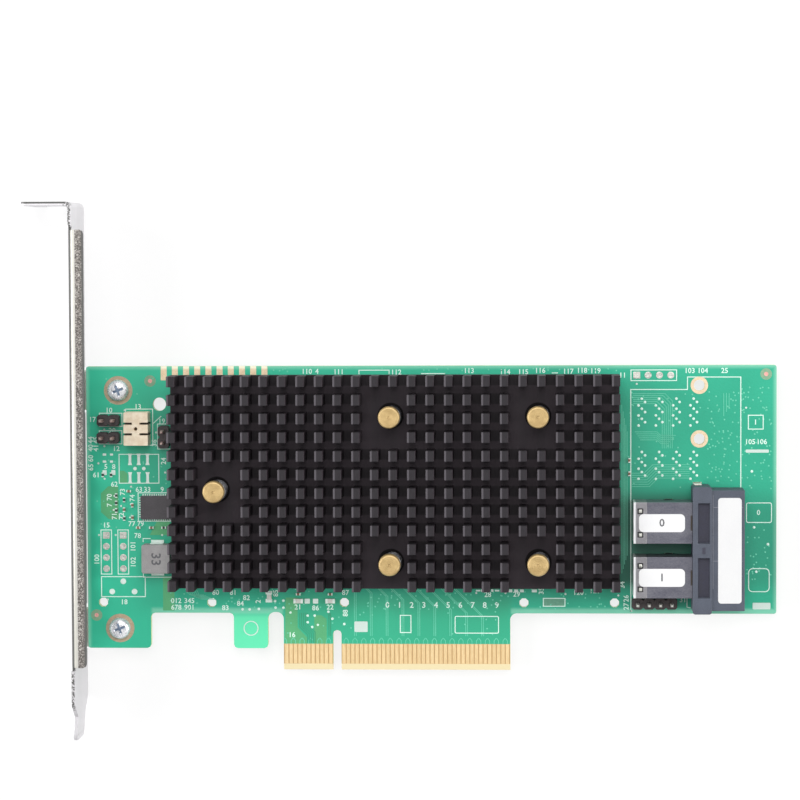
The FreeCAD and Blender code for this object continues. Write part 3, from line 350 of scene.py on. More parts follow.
@dataclass(frozen=True)
class Finish:
    """A surface finish: two shades that mottle each other, their gloss, and a fine relief."""

    name: str
    slot: str
    light: Shade
    dark: Shade
    metallic: float = 0.0
    rough: tuple[float, float] = (0.45, 0.6)
    patch_size: float = 6.0
    grain_size: float = 0.3
    grain_share: float = 0.5
    relief: float = 0.01
    stretch: Shade = (1.0, 1.0, 1.0)
    coat: float = 0.0
    shine: float = 0.5

    def tint(self, graph: Graph, place: Socket, colour: Socket) -> Socket:
        """Lays this finish's own markings over its mottled colour.

        Args:
            graph: the material's graph.
            place: the position in millimetres.
            colour: the mottled colour.

        Returns:
            The colour to use.
        """
        return colour

    def height(self, graph: Graph, place: Socket, grain: Socket) -> Socket:
        """Gives the relief's height.

        Args:
            graph: the material's graph.
            place: the position in millimetres.
            grain: the grain's height.

        Returns:
            The height to use.
        """
        return grain

    def band(self, graph: Graph, value: object, low: float, high: float, blur: float) -> Socket:
        """Places the soft band group.

        Args:
            graph: the material's graph.
            value: the number to follow.
            low: the band's lower edge.
            high: the band's upper edge.
            blur: how far each edge spreads.

        Returns:
            The mask's socket.
        """
        node = graph.add("ShaderNodeGroup", node_tree=Effects.band())
        for label, source in (("Value", value), ("Low", low), ("High", high), ("Blur", blur)):
            graph.feed(node.inputs[label], source)
        return node.outputs["Mask"]

    def axes(self, graph: Graph, vector: Socket) -> tuple[Socket, ...]:
        """Splits a vector into its three numbers.

        Args:
            graph: the material's graph.
            vector: the socket to split.

        Returns:
            The sockets of its three axes.
        """
        split = graph.add("ShaderNodeSeparateXYZ")
        graph.feed(split.inputs[0], vector)
        return tuple(split.outputs)

    def material(self) -> bpy.types.Material:
        """Builds the finish as a material, the first time that it is asked for.

        Returns:
            The material.
        """
        made = bpy.data.materials.get(self.name)
        if made:
            return made
        made = bpy.data.materials.new(self.name)
        made.use_nodes = True
        graph = Graph(made.node_tree)
        seat = graph.add("ShaderNodeTexCoord")
        scale = graph.add("ShaderNodeVectorMath", operation="SCALE")
        graph.feed(scale.inputs[0], seat.outputs["Object"])
        graph.feed(scale.inputs["Scale"], 1 / MM)
        place = scale.outputs[0]
        mapping = graph.add("ShaderNodeMapping")
        graph.feed(mapping.inputs["Vector"], place)
        graph.feed(mapping.inputs["Scale"], self.stretch)
        spots = graph.add("ShaderNodeGroup", node_tree=Effects.variation())
        settings = {
            "Place": mapping.outputs[0],
            "Light": linear(self.light),
            "Dark": linear(self.dark),
            "Patch Size": self.patch_size,
            "Grain Size": self.grain_size,
            "Grain Share": self.grain_share,
            "Rough Low": self.rough[0],
            "Rough High": self.rough[1],
        }
        for label, source in settings.items():
            graph.feed(spots.inputs[label], source)
        shader = graph.add("ShaderNodeBsdfPrincipled")
        graph.feed(shader.inputs["Base Color"], self.tint(graph, place, spots.outputs["Color"]))
        graph.feed(shader.inputs["Roughness"], spots.outputs["Roughness"])
        graph.feed(shader.inputs["Metallic"], self.metallic)
        graph.feed(shader.inputs["Coat Weight"], self.coat)
        graph.feed(shader.inputs["Specular IOR Level"], self.shine)
        bump = graph.add("ShaderNodeBump")
        graph.feed(bump.inputs["Height"], self.height(graph, place, spots.outputs["Height"]))
        graph.feed(bump.inputs["Distance"], self.relief * MM)
        graph.feed(shader.inputs["Normal"], bump.outputs[0])
        output = graph.add("ShaderNodeOutputMaterial")
        graph.feed(output.inputs["Surface"], shader.outputs[0])
        return made


@dataclass(frozen=True)
class SolderMask(Finish):
    """Green solder mask on both faces, over a pale laminate that shows at the cut edges and by the contacts.

    A span is the two edges of a band, a rise is where a ramp starts and where it is full, and a share is how
    strongly a shade is laid. All places are in millimetres on the board.
    """

    edge: Shade = (206, 222, 160)
    # The shade below is painted shade towards the board's left end.
    shaded: Shade = (42, 186, 148)
    shadow: Shade = (10, 84, 66)
    warm: Shade = (52, 138, 92)
    # The shade below is a painted glow along the board's edges.
    rim: Shade = (170, 232, 206)
    hook: Shade = (104, 232, 178)
    bare: Shade = (216, 182, 130)
    bevel: Shade = (234, 219, 176)
    # The shade below is painted shade in the gaps beside each contact.
    groove: Shade = (150, 112, 70)
    low: Shade = (0.0, 0.0, 0.0)
    high: Shade = (1.0, 1.0, 1.0)
    rim_width: float = 1.1
    rim_share: float = 0.42
    lower_edge: float = 12.9
    foot_edge: float = -42.6
    front_rise: Point = (0.6, 1.0)
    # Painted shadows, on the front face only: round the heatsink, over the ports and on the board right of
    # them.
    sink_shade: tuple[Point, Point] = ((-45.0, 13.5), (70.0, 62.0))
    sink_blur: Point = (8.0, 5.0)
    sink_share: float = 0.2
    port_gap: tuple[Point, Point] = ((61.0, 18.8), (80.4, 39.6))
    port_blur: Point = (2.5, 4.0)
    port_share: float = 0.82
    beside_rise: float = 2.0
    beside_top: float = 38.0
    beside_share: float = 0.25
    hook_span: Point = (-23.8, -15.4)
    hook_rise: Point = (13.8, 11.6)
    hook_share: float = 0.75
    tongue: Point = (-12.3, 39.3)
    warm_rise: Point = (18.5, 15.0)
    warm_share: float = 0.3
    contact_start: float = 0.0
    contact_top: float = 5.95
    groove_spans: tuple[Point, Point] = ((-0.25, -0.07), (0.78, 0.92))
    groove_share: float = 0.75
    bevel_top: float = 1.45
    level_faces: Point = (0.8, 0.92)
    weave_pitch: float = 0.9
    weave_share: float = 0.5

    def tint(self, graph: Graph, place: Socket, colour: Socket) -> Socket:
        """Paints shade on the green towards the board's left end, shadow round the heatsink and the ports,
        and a glow along its rim; lightens the hook, warms the tongue and bares the laminate.

        Args:
            graph: the material's graph.
            place: the position in millimetres.
            colour: the mottled green.

        Returns:
            The board's colour.
        """
        across, along, up = self.axes(graph, place)
        # painted shade: the green darkens towards the board's left end
        toned = graph.mix(graph.ramp(across, self.low[0], self.high[0]), linear(self.shaded), colour)
        # painted glow along the board's edges
        toned = graph.lay(toned, self.rim, self.rims(graph, across, along), self.rim_share)
        front = graph.ramp(up, *(self.low[2] + rise for rise in self.front_rise))
        # painted shadow round the heatsink and over the ports
        for corners, blur, share in (
            (self.sink_shade, self.sink_blur, self.sink_share),
            (self.port_gap, self.port_blur, self.port_share),
        ):
            (left, lower), (right, upper) = corners
            wide = self.band(graph, across, left, right, blur[0])
            dim = graph.times(wide, self.band(graph, along, lower, upper, blur[1]), front)
            toned = graph.lay(toned, self.shadow, dim, share)
        # painted shadow over the board right of the ports
        (_, lower), (right, _) = self.port_gap
        beside = graph.ramp(across, right - self.beside_rise, right)
        beside = graph.times(beside, self.band(graph, along, lower, self.beside_top, 6.0))
        toned = graph.lay(toned, self.shadow, beside, self.beside_share)
        hook = graph.times(self.band(graph, across, *self.hook_span, 0.6), graph.ramp(along, *self.hook_rise))
        toned = graph.lay(toned, self.hook, hook, self.hook_share)
        warm = graph.times(self.band(graph, across, *self.tongue, 2.0), graph.ramp(along, *self.warm_rise))
        toned = graph.lay(toned, self.warm, warm, self.warm_share)
        return self.connector(graph, across, along, toned)

    def rims(self, graph: Graph, across: Socket, along: Socket) -> Socket:
        """Masks the painted glow along the board's outer edges.

        Args:
            graph: the material's graph.
            across: the place along the card's length.
            along: the place along its height.

        Returns:
            The mask's socket.
        """
        rim = graph.ramp(along, self.high[1] - self.rim_width, self.high[1])
        rim = graph.most(rim, graph.ramp(across, self.high[0] - self.rim_width, self.high[0]))
        rim = graph.most(rim, graph.ramp(across, self.low[0] + self.rim_width, self.low[0]))
        above = self.band(graph, along, self.lower_edge - 0.2, self.lower_edge + self.rim_width, 0.9)
        clear = graph.rest(self.band(graph, across, *self.tongue, 0.6))
        past_foot = graph.ramp(across, self.foot_edge, self.foot_edge + 0.8)
        return graph.most(rim, graph.times(above, clear, past_foot))

    def connector(self, graph: Graph, across: Socket, along: Socket, toned: Socket) -> Socket:
        """Bares the laminate between the contacts, at the bevel and on every cut edge, and paints shade in
        the gaps beside each contact.

        Args:
            graph: the material's graph.
            across: the place along the card's length.
            along: the place along its height.
            toned: the mask's colour.

        Returns:
            The colour with the laminate laid over it.
        """
        tongue = self.band(graph, across, *self.tongue, 0.1)
        zone = graph.times(tongue, graph.ramp(along, self.contact_top, self.contact_top - 0.06))
        toned = graph.lay(toned, self.bare, zone)
        # painted shade: dark lines in the gaps beside each contact
        phase = graph.maths("WRAP", graph.maths("SUBTRACT", across, self.contact_start), 1.0, 0.0)
        gaps = [self.band(graph, phase, *span, 0.05) for span in self.groove_spans]
        toned = graph.lay(toned, self.groove, graph.times(zone, graph.most(*gaps)), self.groove_share)
        facing = self.axes(graph, graph.add("ShaderNodeNewGeometry").outputs["True Normal"])[2]
        side = graph.rest(graph.ramp(graph.maths("ABSOLUTE", facing), *self.level_faces))
        tip = graph.times(tongue, graph.ramp(along, self.bevel_top, self.bevel_top - 0.1))
        return graph.lay(graph.lay(toned, self.edge, side), self.bevel, tip)

    def height(self, graph: Graph, place: Socket, grain: Socket) -> Socket:
        """Adds the glass cloth under the mask.

        Args:
            graph: the material's graph.
            place: the position in millimetres.
            grain: the grain's height.

        Returns:
            The height of the grain and the cloth.
        """
        node = graph.add("ShaderNodeGroup", node_tree=Effects.weave())
        graph.feed(node.inputs["Place"], place)
        graph.feed(node.inputs["Pitch"], self.weave_pitch)
        return graph.maths("MULTIPLY_ADD", node.outputs["Height"], self.weave_share, grain)


@dataclass(frozen=True)
class FinnedBlack(Finish):
    """Black anodised aluminium with a painted highlight on the left edge of each fin's top, and painted shade
    on each fin's right side, towards its foot and between the fins of a row.

    A pocket is its first and last columns and its first and last rows, counted from the upper left.
    """

    # The three shades below are a painted highlight on the fins' left edges, painted shade on their right
    # sides and feet, and painted shade between the fins of a row.
    bright: Shade = (84, 80, 85)
    deep: Shade = (47, 40, 45)
    hollow: Shade = (16, 13, 16)
    start: float = 0.0
    pitch: float = 4.12
    bright_width: float = 0.42
    fin_width: float = 1.85
    tops: float = 12.0
    fin_height: float = 7.4
    foot_share: float = 0.75
    rows_start: float = 0.0
    rows_end: float = 0.0
    row_pitch: float = 4.15
    row_width: float = 2.4
    hollow_share: float = 0.6
    pocket_margin: Point = (2.2, 1.7)
    blur: float = 0.3
    pockets: tuple[tuple[int, int, int, int], ...] = (
        (2, 3, 5, 7), (11, 12, 1, 3), (11, 12, 9, 11), (19, 20, 1, 3), (19, 20, 9, 11),
    )

    def tint(self, graph: Graph, place: Socket, colour: Socket) -> Socket:
        """Paints a highlight on the left edge of each fin's top, and paints shade on each fin's right side,
        towards the fins' feet and between the fins of a row, outside the pockets.

        Args:
            graph: the material's graph.
            place: the position in millimetres.
            colour: the mottled black.

        Returns:
            The heatsink's colour.
        """
        across, along, up = self.axes(graph, place)
        column = graph.maths("WRAP", graph.maths("SUBTRACT", across, self.start), self.pitch, 0.0)
        edge = self.band(graph, column, -0.2, self.bright_width, 0.12)
        top = graph.ramp(up, self.tops - 0.8, self.tops - 0.1)
        # painted highlight on the left edge of each fin's top
        lit = graph.lay(colour, self.bright, graph.times(edge, top))
        # painted shade on the right side of each fin
        lit = graph.lay(lit, self.deep, graph.ramp(column, self.fin_width - 0.2, self.fin_width - 0.12))
        low = graph.ramp(up, self.tops - 0.5, self.tops - self.fin_height)
        # painted shade towards the fins' feet
        shaded = graph.lay(lit, self.deep, low, self.foot_share)
        row = graph.maths("WRAP", graph.maths("SUBTRACT", along, self.rows_start), self.row_pitch, 0.0)
        gap = graph.times(self.band(graph, row, -0.5, self.row_width, self.blur), low)
        for first, last, top_row, bottom_row in self.pockets:
            left = self.start + first * self.pitch - self.pocket_margin[0]
            right = self.start + (last + 1) * self.pitch
            lower = self.rows_end - (bottom_row + 1) * self.row_pitch
            upper = self.rows_end - top_row * self.row_pitch + self.pocket_margin[1]
            wide = self.band(graph, across, left, right, self.blur)
            inside = graph.times(wide, self.band(graph, along, lower, upper, self.blur))
            gap = graph.times(gap, graph.rest(inside))
        # painted shade between the fins of a row, outside the pockets
        return graph.lay(shaded, self.hollow, gap, self.hollow_share)


@dataclass(frozen=True)
class BentSteel(Finish):
    """Plated steel sheet with a painted highlight on its bent strip, a darker speckled flange with painted
    glints and painted shade towards its edge, a painted shade line along the outer curve, and dark shear-cut
    edges.
    """

    # Below: a painted highlight for the bent strip, the flange's own colour and speckle, painted glints, and
    # one dark for both the shear-cut edges and painted shade.
    bend: Shade = (197, 195, 187)
    flange: Shade = (152, 146, 141)
    speck: Shade = (80, 75, 71)
    glint: Shade = (190, 186, 180)
    sheared: Shade = (84, 84, 82)
    speck_scale: float = 3.6
    glint_scale: float = 1.1
    outer: float = 0.0
    bend_end: float = 0.0
    bend_span: Point = (1.6, 100.2)
    flange_end: float = 0.0
    flange_low: float = 13.0
    side_share: float = 0.8
    top_edge: float = 0.0

    def tint(self, graph: Graph, place: Socket, colour: Socket) -> Socket:
        """Roughens the flange with painted glints and painted shade towards its edge, paints a highlight on
        the bent strip beside it, darkens the shear-cut edges and paints a shade line along the outer curve.

        Args:
            graph: the material's graph.
            place: the position in millimetres.
            colour: the mottled plating.

        Returns:
            The bracket's colour.
        """
        across, along, up = self.axes(graph, place)
        fine = self.noise(graph, place, self.speck_scale, 3.0)
        coarse = self.noise(graph, place, self.glint_scale, 2.0)
        high = graph.ramp(up, self.flange_low - 0.4, self.flange_low)
        flange = graph.times(high, self.band(graph, across, self.bend_end, self.flange_end + 1.0, 0.3))
        rough = graph.mix(graph.ramp(fine, 0.4, 0.62), linear(self.speck), linear(self.flange))
        # painted glints on the flange
        glints = graph.times(graph.ramp(coarse, 0.5, 0.62), graph.ramp(fine, 0.5, 0.6))
        rough = graph.lay(rough, self.glint, glints)
        # painted shade over the flange towards its edge
        side = graph.ramp(across, (self.bend_end + self.flange_end) / 2, self.flange_end)
        rough = graph.lay(rough, self.sheared, side, self.side_share)
        rim = graph.ramp(across, self.flange_end - 0.5, self.flange_end - 0.2)
        rough = graph.lay(rough, self.sheared, rim)
        body = graph.mix(flange, colour, rough)
        # painted highlight along the bent strip
        bend = graph.times(high, self.band(graph, across, self.outer + 0.3, self.bend_end, 0.3))
        body = graph.lay(body, self.bend, graph.times(bend, self.band(graph, along, *self.bend_span, 0.5)))
        # painted shade line along the outer curve
        wide = self.band(graph, across, self.outer - 1, self.outer + 0.7, 0.2)
        ends = graph.most(graph.ramp(along, 99.6, 100.6), graph.ramp(along, 2.0, 1.0))
        broken = graph.times(ends, graph.ramp(fine, 0.5, 0.56))
        line = graph.times(graph.ramp(up, 12.0, 12.6), wide, graph.rest(broken))
        edge = graph.ramp(along, self.top_edge - 0.5, self.top_edge - 0.35)
        tab = graph.times(edge, graph.ramp(up, 13.4, 13.7))
        tab = graph.times(tab, graph.ramp(across, self.outer, self.outer - 0.5))
        return graph.lay(body, self.sheared, graph.most(line, tab))

    def noise(self, graph: Graph, place: Socket, scale: float, detail: float) -> Socket:
        """Adds a noise over the surface.

        Args:
            graph: the material's graph.
            place: the position in millimetres.
            scale: how many grains fit a millimetre.
            detail: how many finer layers it has.

        Returns:
            The noise's socket.
        """
        node = graph.add("ShaderNodeTexNoise")
        graph.feed(node.inputs["Vector"], place)
        graph.feed(node.inputs["Scale"], scale)
        graph.feed(node.inputs["Detail"], detail)
        return node.outputs[0]


@dataclass(frozen=True)
class Banded(Finish):
    """A finish with one band of another shade across it."""

    axis: int = 0
    low: float = 0.0
    high: float = 1.0
    blur: float = 0.3
    shade: Shade = (255, 255, 255)

    def tint(self, graph: Graph, place: Socket, colour: Socket) -> Socket:
        """Lays the band over the finish."""
        value = self.axes(graph, place)[self.axis]
        return graph.lay(colour, self.shade, self.band(graph, value, self.low, self.high, self.blur))


def boundary(node: str) -> tuple[Vector, Vector]:
    """Gives a CAD node's lowest and highest corners in millimetres."""
    low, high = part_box(node)
    return low / MM, high / MM


def middle(node: str) -> Point:
    """Gives a CAD node's middle, x and y in millimetres."""
    low, high = boundary(node)
    return (low.x + high.x) / 2, (low.y + high.y) / 2


BOARD_LOW, BOARD_HIGH = boundary("circuit_board")
SINK_LOW, SINK_HIGH = boundary("heatsink")
BRACKET_LOW, BRACKET_HIGH = boundary("bracket")
CAP_LOW = boundary("port_cap_upper")[0]
TAB_LENGTH = 10.57
FLANGE_WIDTH = 3.44


class Paint:
    """The card's finishes, named for what they cover."""

    MASK = SolderMask(
        "mask_green", "board_green", (34, 170, 136), (27, 158, 126), rough=(0.34, 0.46), patch_size=22.0,
        grain_size=0.5, grain_share=0.25, relief=0.006, low=tuple(BOARD_LOW), high=tuple(BOARD_HIGH),
        contact_start=boundary("edge_contacts_front")[0].x,
    )
    COVERED = Finish(
        "mask_over_copper", "board_green", (88, 172, 116), (76, 160, 108), rough=(0.35, 0.45), patch_size=5.0,
    )
    TRACK = Finish(
        "mask_over_tracks", "board_green", (108, 204, 172), (88, 190, 156), rough=(0.3, 0.42), patch_size=4.0,
    )
    DEEP_TRACK = Finish(
        "mask_between_tracks", "board_green", (46, 148, 110), (38, 134, 98), rough=(0.35, 0.45),
        patch_size=4.0,
    )
    OPENING = Finish(
        "mask_opening", "board_green", (134, 172, 140), (116, 158, 126), rough=(0.45, 0.55), patch_size=0.8,
    )
    OLD_PRINT = Finish(
        "mask_over_print", "board_green", (100, 154, 130), (86, 140, 116), rough=(0.45, 0.55), patch_size=0.8,
    )
    LEGEND = Finish(
        "legend_print", "label_white", (230, 248, 239), (208, 240, 226), rough=(0.6, 0.75), grain_size=0.15,
        grain_share=0.8,
    )
    BROAD_LEGEND = Finish(
        "broad_legend_print", "label_white", (210, 222, 216), (196, 216, 206), rough=(0.6, 0.75),
        grain_size=0.15,
        grain_share=0.8,
    )
    GOLD = Banded(
        "contact_plating", "contact_gold", (232, 206, 158), (214, 184, 134), metallic=0.3, rough=(0.3, 0.42),
        stretch=(1.0, 0.15, 1.0), patch_size=1.2, grain_size=0.12, axis=1, low=-1.0, high=1.2,
        shade=(234, 219, 176),
    )
    # The pale band along the test pads' top is a painted glow, like the board's rim.
    PEACH = Banded(
        "test_pad_plating", "contact_gold", (234, 214, 182), (216, 188, 152), metallic=0.2, rough=(0.35, 0.5),
        patch_size=1.0, axis=1, low=68.3, high=72.0, blur=0.7, shade=(246, 242, 216),
    )
    COPPER = Finish(
        "ring_copper", "contact_gold", (188, 168, 140), (160, 142, 118), metallic=0.2, rough=(0.35, 0.5),
        patch_size=1.0,
    )
    PINK = Finish(
        "fiducial_copper", "contact_gold", (234, 176, 166), (214, 150, 140), metallic=0.2, patch_size=0.5,
    )
    TIN = Finish(
        "solder_tin", "pin_tin", (206, 206, 198), (166, 166, 160), metallic=0.5, rough=(0.25, 0.4),
        patch_size=0.8,
        relief=0.03,
    )
    PIN = Finish(
        "pin_plating", "pin_tin", (196, 170, 164), (150, 124, 120), metallic=0.3, rough=(0.3,
        0.45), patch_size=0.5,
    )
    PALE_TIN = Finish(
        "bright_tin", "pin_tin", (232, 242, 236), (212, 230, 221), metallic=0.1, rough=(0.3, 0.45),
        patch_size=0.7,
    )
    # Dark tin that is painted shade, for contacts and slits that lie deep in shadow.
    DULL_TIN = Finish(
        "shaded_tin", "pin_tin", (66, 58, 50), (44, 38, 34), metallic=0.3, rough=(0.45, 0.6), patch_size=0.7,
    )
    SINK = FinnedBlack(
        "black_anodise", "sink_aluminium", (45, 42, 46), (34, 31, 34), rough=(0.5, 0.65), shine=0.2,
        stretch=(1.0, 0.15, 1.0), patch_size=9.0, grain_size=0.22, grain_share=0.6, relief=0.006,
        start=SINK_LOW.x, tops=SINK_HIGH.z, rows_start=SINK_LOW.y, rows_end=SINK_HIGH.y,
    )
    BRASS = Finish(
        "pin_brass_turned", "pin_brass", (196, 170, 120), (164, 138, 90), metallic=0.5, rough=(0.3, 0.45),
        patch_size=1.3, grain_size=0.12,
    )
    SPRING = Finish(
        "spring_wire", "spring_steel", (150, 150, 152), (108, 108, 112), metallic=0.85, rough=(0.25, 0.4),
        patch_size=1.0,
    )
    BRACKET = BentSteel(
        "bracket_sheet", "bracket_steel", (214, 212, 215), (196, 194, 197), metallic=0.3, rough=(0.3, 0.45),
        stretch=(1.0, 0.2, 1.0), patch_size=9.0, grain_size=0.25, outer=BRACKET_LOW.x + TAB_LENGTH,
        bend_end=BRACKET_LOW.x + TAB_LENGTH + 1.5, flange_end=BRACKET_LOW.x + TAB_LENGTH + FLANGE_WIDTH,
        flange_low=BRACKET_HIGH.z - 0.9, top_edge=BRACKET_HIGH.y,
    )
    SCREW = Finish(
        "screw_nickel", "screw_steel", (238, 238, 240), (204, 206, 212), metallic=0.5, rough=(0.2, 0.35),
        patch_size=1.2,
    )
    RECESS = Finish(
        "recess_shadow", "screw_steel", (132, 150, 172), (96, 112, 136), metallic=0.5, rough=(0.35, 0.5),
        patch_size=0.6,
    )
    SHELL = Finish(
        "port_plating", "port_metal", (110, 110, 118), (78, 78, 90), metallic=0.45, rough=(0.3, 0.45),
        stretch=(0.4, 1.0, 1.0), patch_size=2.6, grain_size=0.15,
    )
    # The pale band at each cap's left edge is a painted highlight.
    CAP = Banded(
        "port_cap_plating", "port_metal", (142, 140, 144), (122, 120, 124), metallic=0.4, rough=(0.3, 0.45),
        patch_size=3.0, grain_size=0.15, low=CAP_LOW.x - 1.0, high=CAP_LOW.x + 0.5, shade=(222, 222, 224),
    )
    INSERT = Finish("port_insert", "port_moulding", (46, 44, 48), (32, 30, 34), rough=(0.5, 0.65))
    GUIDE = Finish(
        "guide_resin", "guide_plastic", (76, 82, 95), (62, 67, 79), rough=(0.5, 0.65), patch_size=3.0,
        grain_size=0.25, relief=0.02,
    )
    GUIDE_LINE = Finish("guide_witness", "guide_plastic", (132, 134, 144), (112, 114, 124), rough=(0.5, 0.6))
    GUIDE_SHADE = Finish(
        "guide_pocket", "guide_plastic", (56, 56, 72), (40, 40, 54), rough=(0.55, 0.7), patch_size=2.0,
    )
    CLIP = Finish("clip_tin", "clip_plate", (240, 236, 226), (214, 208, 196), metallic=0.3, rough=(0.3, 0.45))
    LABEL = Finish(
        "label_paper", "label_white", (224, 224, 224), (218, 218, 219), rough=(0.6, 0.7), grain_size=0.12,
    )
    STICKER = Finish(
        "sticker_paper", "label_white", (238, 238, 238), (232, 232, 233), rough=(0.6, 0.7), grain_size=0.12,
    )
    INK = Finish("label_ink", "chip_black", (104, 104, 108), (84, 84, 88), rough=(0.6, 0.7), patch_size=1.0)
    MOULDING = Finish(
        "header_resin", "header_moulding", (54, 44, 44), (34, 28, 30), rough=(0.45, 0.6), patch_size=1.2,
        relief=0.02,
    )
    CREAM = Finish(
        "socket_nylon", "cream_moulding", (252, 238, 214), (232, 212, 182), rough=(0.45, 0.6), patch_size=1.6,
        grain_share=0.2, relief=0.015,
    )
    CHIP = Finish(
        "chip_resin", "chip_black", (76, 72, 76), (60, 57, 60), rough=(0.5, 0.65), patch_size=2.0,
        relief=0.015,
    )
    CORE = Finish(
        "pressed_core", "core_grey", (166, 164, 164), (148, 146, 146), rough=(0.55, 0.7), patch_size=1.5,
        grain_size=0.2, relief=0.02,
    )
    CERAMIC = Finish(
        "capacitor_ceramic", "cap_tan", (150, 116, 88), (112, 84, 64), rough=(0.4, 0.55), patch_size=1.0,
    )
    RESISTOR = Finish(
        "resistor_glaze", "resistor_black", (46, 60, 52), (30, 40, 36), rough=(0.3, 0.45), patch_size=1.0,
    )
    FUSE = Finish(
        "fuse_ceramic", "fuse_white", (222, 222, 214), (196, 198, 190), rough=(0.5, 0.6), patch_size=1.0,
    )
    LAMINATE = Finish("laminate_green_face", "laminate_green", (52, 96, 70), (40, 78, 58), rough=(0.4, 0.5))
    LID = Finish(
        "lid_plating", "lid_nickel", (196, 196, 192), (168, 168, 166), metallic=0.8, rough=(0.3, 0.45),
        stretch=(1.0, 0.2, 1.0),
    )
    HOLLOW = Finish("hole_shade", "sink_aluminium", (20, 17, 18), (12, 10, 11), rough=(0.7, 0.8), shine=0.1)
    PAD = Finish("thermal_pad_grey", "pad_grey", (150, 152, 156), (126, 128, 132), rough=(0.7, 0.85))


# ---------------------------------------------------------------- bench work


class Bench:
    """The modelling moves that the sub-assemblies share."""

    @staticmethod
    def take(*pieces: Piece) -> None:
        """Deselects everything, then selects these pieces and makes the first one active."""
        bpy.ops.object.select_all(action="DESELECT")
        for piece in pieces:
            piece.select_set(True)
        if pieces:
            bpy.context.view_layer.objects.active = pieces[0]

    @staticmethod
    def settle(piece: Piece) -> Piece:
        """Moves a piece's place, turn and size into its mesh.

        Args:
            piece: the piece.

        Returns:
            The same piece.
        """
        Bench.take(piece)
        bpy.ops.object.transform_apply(location=True, rotation=True, scale=True)
        return piece

    @staticmethod
    def edit(piece: Piece) -> None:
        """Opens a piece in edit mode, by faces, with all of it selected.

        Args:
            piece: the piece.
        """
        Bench.take(piece)
        bpy.ops.object.mode_set(mode="EDIT")
        bpy.ops.mesh.select_mode(type="FACE")
        bpy.ops.mesh.select_all(action="SELECT")

    @staticmethod
    def close() -> None:
        """Leaves edit mode."""
        bpy.ops.object.mode_set(mode="OBJECT")

    @staticmethod
    def mend() -> None:
        """Turns every face of the open piece outwards and leaves edit mode."""
        bpy.ops.mesh.select_all(action="SELECT")
        bpy.ops.mesh.normals_make_consistent(inside=False)
        Bench.close()

    @staticmethod
    def pick(piece: Piece, wanted: Callable[[bmesh.types.BMFace], bool]) -> None:
        """Selects faces of the piece that is open in edit mode.

        Args:
            piece: the open piece.
            wanted: tells whether a face is selected.
        """
        bpy.ops.mesh.select_mode(type="FACE")
        bpy.ops.mesh.select_all(action="DESELECT")
        mesh = bmesh.from_edit_mesh(piece.data)
        for face in mesh.faces:
            face.select_set(wanted(face))
        bmesh.update_edit_mesh(piece.data)

    @staticmethod
    def block(low: Vector, high: Vector, bevel: float = 0.0, segments: int = 2) -> Piece:
        """Makes a block with broken edges.

        Args:
            low: lowest corner in millimetres.
            high: highest corner in millimetres.
            bevel: width of the broken edges in millimetres.
            segments: faces across each broken edge.

        Returns:
            The block.
        """
        Bench.take()
        bpy.ops.mesh.primitive_cube_add(size=1.0, location=(low + high) * 0.5 * MM, scale=(high - low) * MM)
        piece = Bench.settle(bpy.context.object)
        if bevel:
            Bench.edit(piece)
            bpy.ops.mesh.bevel(offset=bevel * MM, segments=segments, affect="EDGES")
            Bench.close()
        return piece

    @staticmethod
    def plate(low: Vector, high: Vector, radius: float, segments: int = 4) -> Piece:
        """Makes a plate whose four upright corners are rounded.

        Args:
            low: lowest corner in millimetres.
            high: highest corner in millimetres.
            radius: corner radius in millimetres.
            segments: faces round each corner.

        Returns:
            The plate.
        """
        piece = Bench.block(low, high)
        Bench.edit(piece)
        bpy.ops.mesh.select_mode(type="EDGE")
        bpy.ops.mesh.select_all(action="DESELECT")
        mesh = bmesh.from_edit_mesh(piece.data)
        for edge in mesh.edges:
            ends = edge.verts[0].co - edge.verts[1].co
            edge.select_set(abs(ends.x) < 1e-9 and abs(ends.y) < 1e-9)
        bmesh.update_edit_mesh(piece.data)
        bpy.ops.mesh.bevel(offset=radius * MM, segments=segments, affect="EDGES")
        Bench.close()
        return piece

    @staticmethod
    def turned(centre: Point, profile: Sequence[Point], sides: int) -> Piece:
        """Makes a turned form by drawing a disc up through its radii.

        Args:
            centre: the axis, x and y in millimetres.
            profile: radius and height in millimetres, from the bottom up.
            sides: faces round the axis.

        Returns:
            The closed form.
        """
        (first, low), (second, high) = profile[:2]
        Bench.take()
        bpy.ops.mesh.primitive_cone_add(
            vertices=sides, radius1=first * MM, radius2=second * MM, depth=(high - low) * MM,
            location=mm(*centre, (low + high) / 2),
        )
        piece = Bench.settle(bpy.context.object)
        Bench.edit(piece)
        Bench.pick(piece, lambda face: len(face.verts) == sides and face.normal.z > 0.9)
        for (old, start), (new, end) in zip(profile[1:], profile[2:]):
            bpy.ops.mesh.extrude_region_move(TRANSFORM_OT_translate={"value": mm(0, 0, end - start)})
            bpy.ops.transform.resize(value=(new / old, new / old, 1.0), center_override=mm(*centre, end))
        Bench.mend()
        return piece

    @staticmethod
    def pierce(piece: Piece, border: float) -> Piece:
        """Opens a flat piece from face to face, leaving a border all round.

        Args:
            piece: a plate or a disc that lies flat.
            border: the width left, in millimetres.

        Returns:
            The frame or ring.
        """
        Bench.edit(piece)
        Bench.pick(piece, lambda face: abs(face.normal.z) > 0.9)
        bpy.ops.mesh.inset(thickness=border * MM)
        bpy.ops.mesh.bridge_edge_loops()
        Bench.mend()
        return piece

